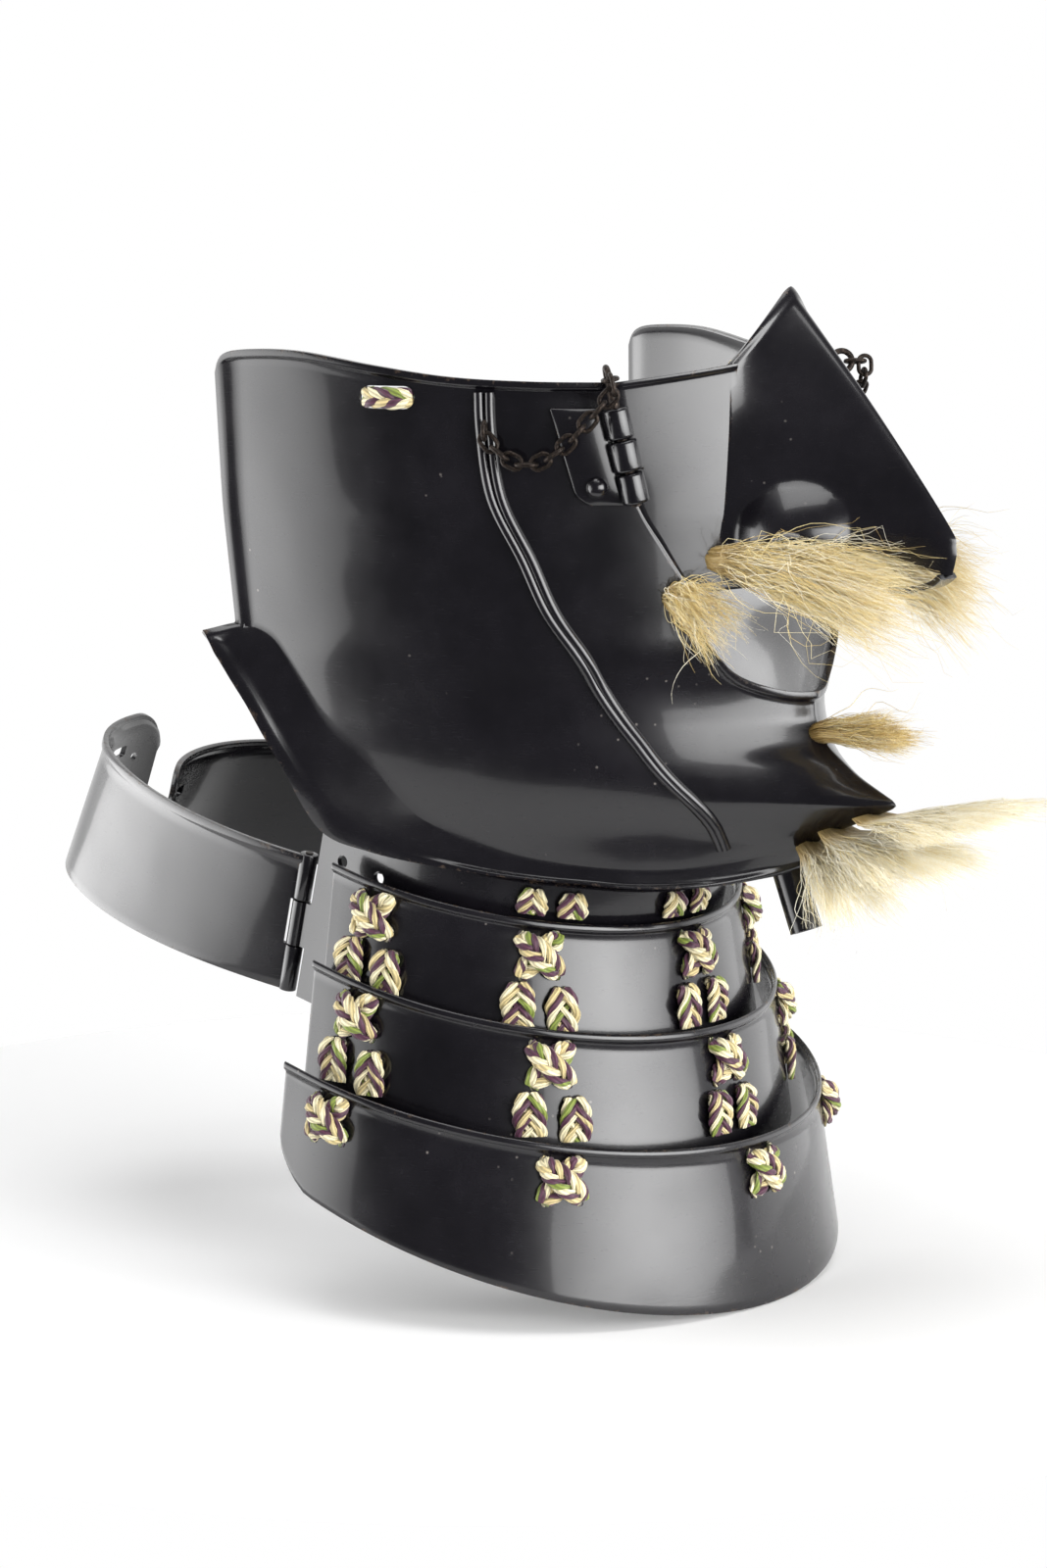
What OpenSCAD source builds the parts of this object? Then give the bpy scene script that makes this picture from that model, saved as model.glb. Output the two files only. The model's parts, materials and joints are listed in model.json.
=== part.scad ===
// Armour half mask with a removable nose plate, three hanging throat lames and a hinged neck ring.
// Millimetres. X runs to the wearer's left, Y runs back from the face, Z runs up.
// The origin is the middle of the opening that the wearer's face goes into, at the height of the mouth.

/* [Face plate] */
// Width across the rear upper corners
face_w = 148; // [138:1:160]
// Width across the jaw where the neck ring leaves it
jaw_w = 108; // [106:0.5:112]
// From the rear edge to the front of the cheeks
cheek_depth = 112; // [106:0.5:118]
// From the rear edge to the point of the chin
chin_depth = 134; // [128:0.5:142]
// Height of the upper edge over the mouth
brow_z = 60; // [56:0.5:66]
// Thickness of the lacquered plate
plate_t = 1.6; // [1.2:0.1:2]
// How far the turned edges stand out
lip_turn = 1.1; // [0.5:0.1:1.6]
// Width of the turned edges
lip_w = 2.4; // [2:0.1:3.2]
// Radius of the raised lines down each cheek
rib_r = 0.9; // [0.6:0.1:1.2]
// Distance between the two raised lines at the top
rib_gap = 3.2; // [2.6:0.1:4]
// Length of the cord slot in each cheek
slot_l = 13; // [11:0.5:15]
// Height of the cord slot
slot_h = 5; // [4.6:0.2:6]

/* [Nose plate] */
// Height of the bridge over the mouth
bridge_z = 79; // [74:0.5:84]
// From the rear edge to the point of the nose
nose_depth = 148; // [142:0.5:154]
// Height of the point of the nose over the mouth
nose_z = 24.5; // [22:0.5:27]
// Bulge of the nostril wings
wing_out = 5.5; // [3:0.5:7]
// Gap between the nose plate and the face plate
seam_gap = 0.5; // [0.3:0.1:0.8]

/* [Nose hinges] */
// Outer radius of the hinge knuckles
knuckle_r = 3; // [2.6:0.1:3.4]
// Radius of the hinge pins
pin_r = 1.1; // [0.9:0.1:1.3]
// Clearance round every pin
pin_clear = 0.2; // [0.15:0.05:0.3]
// Length of one knuckle
knuckle_l = 6.8; // [6:0.2:7.4]
// Gap between neighbouring knuckles
knuckle_gap = 0.4; // [0.3:0.1:0.6]
// Thickness of the hinge leaves
leaf_t = 1.4; // [1:0.1:1.8]
// Lean of the hinge pins towards the back
hinge_lean = 13; // [8:0.5:16]
// Radius of the ring on each pin
ring_r = 2.4; // [2.2:0.1:2.8]
// Radius of the wire of rings and chains
wire_r = 0.5; // [0.4:0.05:0.6]

/* [Drain tube] */
// Outer radius of the tube
drain_r = 3.7; // [3.2:0.1:4.2]
// Wall of the tube
drain_wall = 0.8; // [0.6:0.1:1.2]
// Length of the tube
drain_l = 20; // [17:0.5:24]

/* [Neck ring] */
// Outer radius of the collar in front
collar_r = 50.5; // [48.5:0.5:51]
// Height of the collar
collar_h = 49; // [46:1:51]
// Thickness of the collar, neck bands and lames
band_t = 1.3; // [1:0.1:1.5]
// Height of the neck bands
band_h = 33.5; // [30:0.5:36]
// Radius of the neck hinge knuckles
neck_knuckle_r = 2.1; // [1.9:0.1:2.3]
// Radius of the neck hinge pins
neck_pin_r = 0.9; // [0.8:0.1:1]
// How far the left neck band is swung in
left_swing = 28.5; // [24:1:36]
// Extra length of the left band, which slips under the right one
tongue = 12; // [6:1:14]

/* [Throat lames] */
// Lean of the neck ring and of the lames' rims, lower in front
tilt = 12.8; // [11:0.1:14]
// Radius of the first lame at its side rims
lame_r = 55.2; // [54.5:0.1:56]
// Growth of the second lame over the first
grow_2 = 6.8; // [6.5:0.1:8]
// Growth of the third lame over the second
grow_3 = 9.8; // [7:0.1:11]
// Drop from rim to rim
pitch = 22.2; // [21:0.2:23]
// Height of the wall of the upper lames
lame_h = 31; // [29:0.5:32]
// Height of the third lame's wall at its foremost
skirt_h = 39.5; // [36:0.5:44]
// Height of the third lame's wall at the rear edges
skirt_rear = 25.5; // [22:0.5:28]
// Rounding of the third lame's lower rear corners
skirt_corner = 9; // [6:0.5:12]
// Outward slope of the walls
flare = 0.15; // [0.12:0.01:0.17]
// How far the rolled rim stands out
bead = 0.9; // [0.6:0.1:1.1]
// Height of the rolled rim
bead_h = 2; // [1.6:0.1:2.6]
// Radius of the flat silk braid in the crosses
braid_r = 1.3; // [1.1:0.1:1.6]
// Radius of the braid that runs down between the lames
lace_r = 0.9; // [0.7:0.05:0.95]
// Half the spacing of the lacing holes
hole_dx = 3.6; // [3.2:0.1:4]
// Half the spacing of two laces that run side by side
pair_dx = 4.6; // [4.2:0.1:5]
// Angle to the second column of laces on the first lame
column_2 = 41; // [38:0.5:43]
// Angle to the third column of laces on the first lame
column_3 = 80; // [77:0.5:81]

/* [Hair] */
// Width of one strand at its root
strand_w = 0.6; // [0.4:0.05:0.7]
// Length of the moustache
moustache_l = 43; // [36:1:48]
// Length of the beard
beard_l = 34; // [28:1:38]
// Length of the small tufts
tuft_l = 21; // [16:1:24]

/* [Hidden] */
$fn = 48;
BLACK = "#15161b";
IRON = "#3a332c";
SILK = "#cfc08e";
STRAW = "#dcc99a";
EPS = 0.01;

// Laws of the face by height: half width, cheek depth and midline depth from the rear edge,
// and how blunt the plan is in front, where 1 would be a straight-sided wedge
WIDTH = [[-75, jaw_w/2 - 4], [-60, jaw_w/2 - 3], [-48, jaw_w/2], [-36, jaw_w/2 + 6],
    [-20, face_w/2 - 8], [0, face_w/2 - 4], [30, face_w/2 - 1], [64, face_w/2], [90, face_w/2 + 1]];
CHEEK = [[-75, cheek_depth - 24], [-60, cheek_depth - 15], [-48, cheek_depth - 8],
    [-36, cheek_depth - 2], [-28, cheek_depth + 1], [-22, cheek_depth], [-16, cheek_depth - 1.5],
    [-8, cheek_depth - 1.5], [0, cheek_depth + 2], [30, cheek_depth], [64, cheek_depth - 4],
    [90, cheek_depth - 6]];
MIDLINE = [[-75, cheek_depth - 18], [-62, cheek_depth - 12], [-51, cheek_depth - 6],
    [-47, cheek_depth - 3], [-42.5, cheek_depth + 1.5], [-39, chin_depth - 12],
    [-33.4, chin_depth + 0.5], [-28, chin_depth - 11], [-22, cheek_depth + 2.5],
    [-16, cheek_depth - 1], [-8, cheek_depth - 1.5], [0, cheek_depth + 2], [30, cheek_depth],
    [64, cheek_depth - 4], [90, cheek_depth - 6]];
BLUNT = [[-75, 1.7], [-60, 1.65], [-48, 1.5], [-40, 1.3], [5, 1.25], [25, 1.3], [45, 1.35], [90, 1.35]];
rear_blunt = 2.2;
chin_spread = 21;

function eased(tab, z, d) = (lookup(z - d, tab) + 2*lookup(z, tab) + lookup(z + d, tab))/4;
function face_depth(th, z) =
    let (c = eased(CHEEK, z, 3), m = eased(MIDLINE, z, 1))
    c + (m - c)*exp(-pow(th/chin_spread, 2));
// A point of the face's outer surface: angle th is 0 at the nose and 90 at the wearer's right ear
function face(th, z) = [
    -sign(th)*eased(WIDTH, z, 3)*pow(abs(sin(th)), 2/eased(BLUNT, z, 3)),
    -sign(cos(th))*face_depth(th, z)*pow(abs(cos(th)), 2/rear_blunt),
    z];
function unit(v) = v/norm(v);
// Outward normal of the face, and its level part
function face_n(th, z) = unit(cross(face(th - 1, z) - face(th + 1, z), face(th, z + 1) - face(th, z - 1)));
function level_n(th, z) = let (n = face_n(th, z)) unit([n.x, n.y, 0]);
function off_face(th, z, d) = face(th, z) + face_n(th, z)*d;
function mirrored(p) = [-p.x, p.y, p.z];
function mix(a, b, t) = a + (b - a)*t;
// Smooth curve through a list of points; t counts the points
function spline(p, t) =
    let (n = len(p) - 1, i = min(floor(max(t, 0)), n - 1), f = t - i,
        a = p[max(i - 1, 0)], b = p[i], c = p[i + 1], d = p[min(i + 2, n)])
    0.5*(2*b + (c - a)*f + (2*a - 5*b + 4*c - d)*f*f + (3*b - a - 3*c + d)*f*f*f);

// The plate's outlines as [angle, height], from the rear corner forward
UPPER_EDGE = [[90.3, brow_z], [89.5, brow_z + 4], [86.5, brow_z + 5.4], [79.6, brow_z + 5.4],
    [70.4, brow_z + 2.8], [61, brow_z + 0.5], [51, brow_z - 0.4], [40.7, brow_z - 0.6]];
FRONT_EDGE = [[40.7, brow_z - 0.6], [39.7, 44.2], [39, 33], [36.2, 23.2], [33.2, 14.5], [31.9, 8],
    [30.4, 2], [24.7, -5.4], [13.6, -9.4], [0, -10]];
CREASE = [[89.6, 2.5], [88.8, 2.6], [87.2, 2.5], [85.1, -0.2], [82.9, -7.8], [80, -18],
    [75.4, -27.4], [70.8, -37.8], [66.4, -42.6], [58.7, -47.7], [51.7, -49.8], [44, -50.8],
    [37.8, -51], [30.5, -50.5], [22, -48.5], [11, -45.6], [0, -43]];
// The skirt's rim as [angle, height, how far it stands out]
RIM = [[91.3, 1.5, 7], [90.7, -0.5, 7], [90, -4, 7], [88.8, -9, 7], [87.1, -16.5, 6.5],
    [84.9, -29.3, 6], [82.3, -43.5, 5.5], [76.7, -47.7, 4.5], [70, -49.8, 3.5], [60.6, -51.7, 2.5],
    [52.3, -52.7, 2], [45, -53.3, 1.8], [38.3, -54, 1.5], [30.5, -54, 1.2], [21.8, -53.4, 0.8],
    [11, -51.6, 0.4], [0, -50, 0]];
corner = len(UPPER_EDGE) - 1;
middle = len(RIM) - 1;

// A closed sheet between an outer and an inner grid of points
module sheet(outer, inner) {
    rows = len(outer);
    cols = len(outer[0]);
    n = rows*cols;
    points = concat([for (r = outer) for (p = r) p], [for (r = inner) for (p = r) p]);
    skin = [for (r = [0 : rows - 2]) for (c = [0 : cols - 2])
        let (a = r*cols + c, b = a + 1, d = a + cols, e = d + 1) each [[a, b, e], [a, e, d]]];
    lining = [for (f = skin) [f[0] + n, f[2] + n, f[1] + n]];
    loop = concat([for (c = [0 : cols - 1]) c], [for (r = [1 : rows - 1]) r*cols + cols - 1],
        [for (c = [cols - 2 : -1 : 0]) (rows - 1)*cols + c], [for (r = [rows - 2 : -1 : 1]) r*cols]);
    m = len(loop);
    edge = [for (k = [0 : m - 1])
        let (a = loop[k], b = loop[(k + 1) % m]) each [[b, a, a + n], [b, a + n, b + n]]];
    polyhedron(points, concat(skin, lining, edge));
}

function grid_n(g, r, c) =
    let (rows = len(g) - 1, cols = len(g[0]) - 1,
        across = g[r][min(c + 1, cols)] - g[r][max(c - 1, 0)],
        down = g[min(r + 1, rows)][c] - g[max(r - 1, 0)][c])
    unit(cross(down, across));
// The same grid moved along its normals by a distance of its own at each point
function offset_grid(g, d) =
    [for (r = [0 : len(g) - 1]) [for (c = [0 : len(g[0]) - 1]) g[r][c] + grid_n(g, r, c)*d[r][c]]];
function level_grid(g, d) = [for (r = g) [for (p = r) d]];
function both_sides(g) =
    [for (r = g) concat(r, [for (k = [len(r) - 2 : -1 : 0]) mirrored(r[k])])];

// Columns of the face plate, counted in outline points from the rear edge to the midline
COLUMNS = concat([0, 1, 2], [for (k = [5 : 2*middle]) k/2]);
function upper(u) = u <= corner ? spline(UPPER_EDGE, u) : spline(FRONT_EDGE, u - corner);
function crease(u) = spline(CREASE, u);
function rim(u) = let (q = spline(RIM, u)) face(q[0], q[1]) + level_n(q[0], q[1])*q[2];
function column_len(u) = norm(face(upper(u)[0], upper(u)[1]) - face(crease(u)[0], crease(u)[1]));
// Rows: the turned lip, the face, then the skirt below the crease
LIP_ROWS = [0, 0.65, 1];
FACE_ROWS = 10;
SKIRT_ROWS = [0.35, 0.7, 0.85, 1];
function face_row(u, v) = let (q = mix(upper(u), crease(u), v)) face(q[0], q[1]);
function skirt_row(u, s) = mix(face_row(u, 1), rim(u), s);
function plate_column(u) =
    let (top = min(lip_w/column_len(u), 0.3))
    concat([for (k = LIP_ROWS) face_row(u, top*k)],
        [for (k = [1 : FACE_ROWS]) face_row(u, top + (1 - top)*k/FACE_ROWS)],
        [for (s = SKIRT_ROWS) skirt_row(u, s)]);
// The lip turns out along the upper edge, the rear edge, the lower lip of the mouth and the skirt's rim
function lip_along(u) = u <= corner ? 1 : u < corner + 5 ? 0 : min(1, (u - corner - 5)/2);
function rear_lip(u) = u <= 1 ? 1 : 0;
function plate_lift(u) =
    concat([lip_along(u), lip_along(u), 0], [for (k = [1 : FACE_ROWS]) 0], [0, 0, 0.8, 0.8]);
function transpose(g) = [for (k = [0 : len(g[0]) - 1]) [for (r = g) r[k]]];

module face_shell() {
    base = both_sides(transpose([for (u = COLUMNS) plate_column(u)]));
    half_lift = transpose([for (u = COLUMNS) [for (k = plate_lift(u)) lip_turn*max(k, rear_lip(u))]]);
    lift = [for (r = half_lift) concat(r, [for (k = [len(r) - 2 : -1 : 0]) r[k]])];
    outer = offset_grid(base, lift);
    inner = offset_grid(base, [for (r = lift) [for (k = r) k - plate_t]]);
    sheet(outer, inner);
}

// The floor under the jaw, from the skirt's rim in to the collar
floor_local_z = -37;
floor_t = 1.4;
ring_y = -36;
function to_ring(p) = [p.x, p.y*cos(tilt) + p.z*sin(tilt), p.z*cos(tilt) - p.y*sin(tilt)];
function from_ring(p) = [p.x, p.y*cos(tilt) - p.z*sin(tilt), p.y*sin(tilt) + p.z*cos(tilt)];
function collar_side(p, gap) =
    p.y > ring_y ? [sign(p.x)*(collar_r + gap), p.y, floor_local_z]
    : let (d = unit([p.x, p.y - ring_y])) [d.x*(collar_r + gap), ring_y + d.y*(collar_r + gap), floor_local_z];
module jaw_floor() {
    us = [for (k = [13 : 2*middle]) k/2];
    outline = [for (u = us) let (q = spline(RIM, u))
        face(q[0], q[1] + floor_t/2) + level_n(q[0], q[1])*(q[2] - plate_t/2)];
    seat = [for (p = outline) from_ring(collar_side(to_ring(p), 0.3))];
    half = [outline, [for (k = [0 : len(us) - 1]) mix(outline[k], seat[k], 0.5)], seat];
    base = both_sides(half);
    up = [for (r = base) [for (p = r) p + [0, 0, floor_t/2]]];
    down = [for (r = base) [for (p = r) p - [0, 0, floor_t/2]]];
    sheet(down, up);
}

// Two raised lines down each cheek that run together towards the chin
RIB = [[56.9, brow_z - 2.8], [57, 48.5], [56.4, 34.3], [53.5, 21], [50.8, 7.7], [45.9, -5],
    [40.9, -18.3], [36.4, -29.4], [24.6, -44.9]];
module cheek_rib(side) {
    steps = 16;
    path = [for (k = [0 : steps]) spline(RIB, k*(len(RIB) - 1)/steps)];
    for (line = [-1, 1]) {
        dots = [for (k = [0 : steps])
            let (gap = rib_gap*(1 - 0.55*k/steps), wide = line*gap/2/face_depth(0, 0)*57.3)
            off_face(path[k][0] + wide, path[k][1], rib_r*(0.25 - 0.3*k/steps))];
        for (k = [0 : steps - 1]) {
            hull() {
                translate([side*dots[k].x, dots[k].y, dots[k].z]) sphere(rib_r, $fn = 6);
                translate([side*dots[k + 1].x, dots[k + 1].y, dots[k + 1].z]) sphere(rib_r, $fn = 6);
            }
        }
    }
}

// Places a piece on the cheek: x runs back along the plate, y stands out of it, z runs up
module on_face(th, z, d = 0, side = 1) {
    p = face(th, z) + level_n(th, z)*d;
    n = level_n(th, z);
    mirror([side < 0 ? 1 : 0, 0, 0])
        translate(p) rotate([0, 0, atan2(n.y, n.x) - 90]) children();
}

slot_th = 68.9;
slot_z = 55.8;
module cord_slot(side, grow = 0) {
    on_face(slot_th, slot_z, 0, side) {
        translate([0, 0, 0]) cube([slot_l - slot_h + grow, 12, slot_h + grow], center = true);
        for (x = [-1, 1])
            translate([x*(slot_l - slot_h)/2, 0, 0]) rotate([90, 0, 0])
                cylinder(h = 12, r = slot_h/2, center = true, $fn = 20);
    }
}

module mask_plate() {
    color(BLACK) difference() {
        union() {
            face_shell();
            jaw_floor();
            cheek_rib(1);
            cheek_rib(-1);
        }
        cord_slot(1);
        cord_slot(-1);
        drain_place() cylinder(h = 60, r = drain_r + 0.3, center = true, $fn = 32);
    }
}

// The nose plate: a cheek flap on each side, the ridge between them and the band over the lip
seam_th = seam_gap/cheek_depth*57.3;
NOSE_SEAM = [[40.7, brow_z - 0.6], [39.7, 44.2], [39.1, 33], [36.1, 23.2], [33, 14.4]];
NOSE_CREASE = [[22.8, brow_z + 3.2], [23.8, 48], [25.7, 33], [27.2, 26.5], [29.2, 13.4]];
function seam(v) = spline(NOSE_SEAM, 4*v) - [seam_th, 0];
function nose_crease(v) = spline(NOSE_CREASE, 4*v);
// Rows down the nose plate: a turned upper edge first
function edge_rows(n) = concat([0, 0.025], [for (k = [1 : n]) 0.04 + 0.96*(k - 1)/(n - 1)]);
function edge_lift(g, d) = [for (r = [0 : len(g) - 1]) [for (p = g[0]) (r < 2 ? nose_lip : 0) + d]];
module nose_flap(side) {
    cols = 6;
    g = [for (v = edge_rows(10)) [for (c = [0 : cols])
        let (q = mix(seam(v), nose_crease(v) - [1.2, 0], c/cols)) face(q[0], q[1])]];
    placed = side > 0 ? g : [for (r = g) [for (k = [cols : -1 : 0]) mirrored(r[k])]];
    sheet(offset_grid(placed, edge_lift(g, 0)), offset_grid(placed, edge_lift(g, -plate_t)));
}

RIDGE = [[0, -cheek_depth + 9.3, bridge_z], [0, -cheek_depth - 13, bridge_z - 24.3],
    [0, -nose_depth + 3, nose_z + 6], [0, -nose_depth, nose_z], [0, -nose_depth + 1, nose_z - 6.2]];
WALL = [[22.8, brow_z + 3.2], [24.2, 47.4], [26.2, 32.2], [27, 28.2], [27.6, 24.6]];
// Height of the nose's lower edge over a straight line from cheek to point, by the way along it
NOSTRIL = [[0, 0], [0.09, -0.6], [0.18, 1.5], [0.26, 3.4], [0.35, 4.2], [0.44, 3.7], [0.53, 2.4],
    [0.66, 2.6], [0.79, 1.9], [0.9, 0.6], [1, 0]];
wing_at = [0, -cheek_depth - 3.5, nose_z + 2];
wing_reach = 11.5;
nose_lip = 0.6;
ridge_round = 1.1;
function wall_point(v) = let (q = spline(WALL, 4*v)) face(q[0], q[1]);
function ridge_point(v) = spline(RIDGE, 4*v);
// Bulge of the nostril wing at a point of the nose's side
function wing(p) =
    let (d = norm([p.y - wing_at.y, p.z - wing_at.z])/wing_reach) d < 1 ? wing_out*pow(1 - d*d, 0.7) : 0;
function nose_side(s, v) =
    let (p = mix(wall_point(v), ridge_point(v), s) + [0, 0, lookup(s, NOSTRIL)*pow(v, 5)],
        out = wing(p)*min(1, s/0.08) + ridge_round*s*s*(1 - exp(-(1 - s)/0.025)))
    p + [-0.88*out, -0.47*out*(1 - s), 0];
NOSE_COLS = [0, 0.05, 0.1, 0.15, 0.2, 0.26, 0.32, 0.38, 0.44, 0.5, 0.56, 0.65, 0.75, 0.85, 0.92,
    0.96, 0.985, 1];
NOSE_ROWS = [0, 0.025, 0.04, 0.16, 0.28, 0.4, 0.5, 0.58, 0.64, 0.7, 0.76, 0.82, 0.88, 0.94, 1];
module nose_ridge() {
    half = [for (v = NOSE_ROWS) [for (c = NOSE_COLS) nose_side(c, v)]];
    g = both_sides(half);
    sheet(offset_grid(g, edge_lift(g, 0)), offset_grid(g, edge_lift(g, -plate_t)));
}

module lip_band() {
    ths = [for (k = [-9 : 9]) -k*29.2/9];
    g = [for (r = [0 : 4]) [for (th = ths)
        face(th, mix(23.6 + 1.2*cos(th*3), 13.6 + 1.6*cos(th*3), r/4))]];
    sheet(g, offset_grid(g, level_grid(g, -plate_t)));
}

// The narrow strip from the point of the nose back to the lip, between the nostrils
STRIP = [[0, -nose_depth + 2.6, nose_z - 4.8], [0, -nose_depth + 6, nose_z - 7],
    [0, -nose_depth + 14, nose_z - 8.6], [0, -nose_depth + 22, nose_z - 7.4],
    [0, -cheek_depth - 4, nose_z - 4.4], [0, -cheek_depth + 0.8, nose_z - 3]];
module nostril_strip() {
    steps = 10;
    for (k = [0 : steps - 1]) {
        hull() {
            for (j = [k, k + 1])
                translate(spline(STRIP, j*(len(STRIP) - 1)/steps))
                    cube([5 + 1.5*abs(j/steps - 0.5), 0.8, 1.6], center = true);
        }
    }
}

module nose_plate() {
    color(BLACK) union() {
        nose_flap(1);
        nose_flap(-1);
        nose_ridge();
        lip_band();
        nostril_strip();
    }
}

// Nose hinge: its own frame stands on the seam, x back along the cheek, y out, z up the pin
hinge_th = 40;
hinge_z = 43.8;
axis_out = knuckle_r + 0.35;
bore_r = pin_r + pin_clear;
hinge_l = 3*knuckle_l + 2*knuckle_gap;
module at_hinge(side) {
    on_face(hinge_th, hinge_z, 0, side)
        rotate([0, hinge_lean, 0]) translate([0, axis_out, 0]) children();
}
module knuckle(k, len_extra = 0) {
    translate([0, 0, (1 - k)*(knuckle_l + knuckle_gap)])
        cylinder(h = knuckle_l + len_extra, r = knuckle_r, center = true);
}
// A curved leaf that follows the face, from the knuckles back along the cheek
module leaf(th_a, th_b, z_mid, height, gap) {
    cols = 5;
    rows = 3;
    lean = tan(hinge_lean)*57.3/cheek_depth;
    g = [for (r = [0 : rows]) [for (c = [0 : cols])
        let (z = z_mid + height*(0.5 - r/rows), th = mix(th_b, th_a, c/cols) + (z - z_mid)*lean)
        off_face(th, z, gap + leaf_t)]];
    inner = [for (r = [0 : rows]) [for (c = [0 : cols])
        let (z = z_mid + height*(0.5 - r/rows), th = mix(th_b, th_a, c/cols) + (z - z_mid)*lean)
        off_face(th, z, gap)]];
    sheet(g, inner);
}

module hinge_leaf(side) {
    color(BLACK) difference() {
        union() {
            mirror([side < 0 ? 1 : 0, 0, 0]) leaf(40.6, 47.8, hinge_z - 0.5, hinge_l, 0.3);
            at_hinge(side) {
                knuckle(0);
                knuckle(2);
            }
        }
        at_hinge(side) cylinder(h = knuckle_l + 2*knuckle_gap, r = knuckle_r + 0.3, center = true);
        at_hinge(side) cylinder(h = 2*hinge_l, r = bore_r, center = true);
    }
}
module nose_knuckle(side) {
    color(BLACK) difference() {
        union() {
            mirror([side < 0 ? 1 : 0, 0, 0]) leaf(37.9, 39, hinge_z - 0.5, knuckle_l - 1.6, 0);
            at_hinge(side) knuckle(1);
        }
        at_hinge(side) cylinder(h = 2*hinge_l, r = bore_r, center = true);
    }
}

rivet_th = 44;
rivet_z = 36.8;
rivet_r = 2.3;
module leaf_rivets() {
    color(BLACK) for (side = [-1, 1])
        on_face(rivet_th, rivet_z, 0.3 + leaf_t + 0.1, side) rotate([-90, 0, 0]) difference() {
            sphere(rivet_r);
            translate([0, 0, -rivet_r]) cube([3*rivet_r, 3*rivet_r, 2*rivet_r], center = true);
        }
}

staple_th = 56.9;
staple_z = 49.2;
staple_r = 1.9;
staple_out = rib_r*1.3 + staple_r + wire_r + 0.1;
module chain_staples() {
    color(IRON) for (side = [-1, 1])
        on_face(staple_th, staple_z, staple_out, side)
            rotate([0, 90, 0]) rotate_extrude() translate([staple_r, 0]) circle(wire_r, $fn = 16);
}

pin_up = 4.6;
eye_wire = wire_r + 0.2;
eye_z = hinge_l/2 + pin_up + ring_r - wire_r;
module nose_pin(side) {
    color(IRON) at_hinge(side) {
        translate([0, 0, -hinge_l/2 - 0.6]) cylinder(h = hinge_l + pin_up + 0.6, r = pin_r);
        translate([0, 0, eye_z]) rotate([0, 90, 0])
            rotate_extrude() translate([ring_r, 0]) circle(eye_wire, $fn = 16);
    }
}

// The chain hangs from the staple and rises to the pin's ring; every link lies across the next.
// The links on the ring are placed in the hinge's frame, the others along a slack curve
link_w = 1.5;
link_s = 1.5;
link_end = link_s/2 + link_w;
link_gap = 0.3;
link_slack = 0.2;
module link() {
    for (e = [-1, 1]) {
        translate([e*link_s/2, 0, 0]) rotate([0, 0, e > 0 ? -90 : 90])
            rotate_extrude(angle = 180) translate([link_w, 0]) circle(wire_r, $fn = 16);
        translate([0, e*link_w, 0]) rotate([0, 90, 0])
            cylinder(h = link_s, r = wire_r, center = true, $fn = 16);
    }
}
hinge_n = level_n(hinge_th, hinge_z);
hinge_back = [hinge_n.y, -hinge_n.x, 0];
hinge_up = hinge_back*sin(hinge_lean) + [0, 0, cos(hinge_lean)];
eye_at = face(hinge_th, hinge_z) + hinge_n*axis_out + hinge_up*eye_z;
// How far from the ring's middle the two last links stand
last_out = ring_r - eye_wire - wire_r - link_gap + link_end;
next_out = last_out + link_end;
next_drop = 2*wire_r + link_gap - link_end;
chain_end = eye_at + hinge_n*next_out + hinge_up*(next_drop - link_end + wire_r + link_gap/2);
chain_start = face(staple_th, staple_z) + level_n(staple_th, staple_z)*staple_out
    - [0, -link_slack, staple_r - 2*wire_r + 0.15];
chain_sag = [[0, 0], [0.1, -3.2], [0.25, -5.9], [0.4, -6.9], [0.55, -6.3], [0.7, -4.6], [0.85, -2.3], [1, 0]];
chain_bow = 1.2;
function chain_at(t) = mix(chain_start, chain_end, t) + [0, 0, lookup(t, chain_sag)*1.45]
    + hinge_n*chain_bow*sin(180*t);
chain_steps = 60;
chain_pts = [for (k = [0 : chain_steps])
    (chain_at((k - 1)/chain_steps) + 2*chain_at(k/chain_steps) + chain_at((k + 1)/chain_steps))/4];
function lengths(p, k = 0, l = 0) = k == len(p) - 1 ? [l] : concat([l], lengths(p, k + 1, l + norm(p[k + 1] - p[k])));
chain_len = lengths(chain_pts);
chain_total = chain_len[chain_steps];
links = round(chain_total/6.4)*2 - 1;
function chain_point(l) = let (k = lookup(l, [for (i = [0 : chain_steps]) [chain_len[i], i]]),
    i = min(floor(k), chain_steps - 1)) mix(chain_pts[i], chain_pts[i + 1], k - i);
module oriented(at, x, z) {
    zz = unit(z - x*(z*x));
    y = cross(zz, x);
    multmatrix([[x.x, y.x, zz.x, at.x], [x.y, y.y, zz.y, at.y], [x.z, y.z, zz.z, at.z], [0, 0, 0, 1]])
        children();
}
module pin_chain(side) {
    n = level_n((hinge_th + staple_th)/2, hinge_z);
    color(IRON) mirror([side < 0 ? 1 : 0, 0, 0]) {
        for (k = [0 : links - 1]) {
            a = chain_point(chain_total*k/links);
            b = chain_point(chain_total*(k + 1)/links);
            d = unit(b - a);
            oriented((a + b)/2, d, k % 2 == 0 ? n : cross(d, n)) link();
        }
        oriented(eye_at + hinge_n*next_out + hinge_up*next_drop, hinge_up, hinge_back) link();
        oriented(eye_at + hinge_n*last_out, hinge_n, hinge_up) link();
    }
}

// Heights at which the beard's three tufts grow
beard_z = [-37.2, -41.2, -45.2];
// The drain tube hangs under the chin and leans forward
drain_lean = 21.6;
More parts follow.
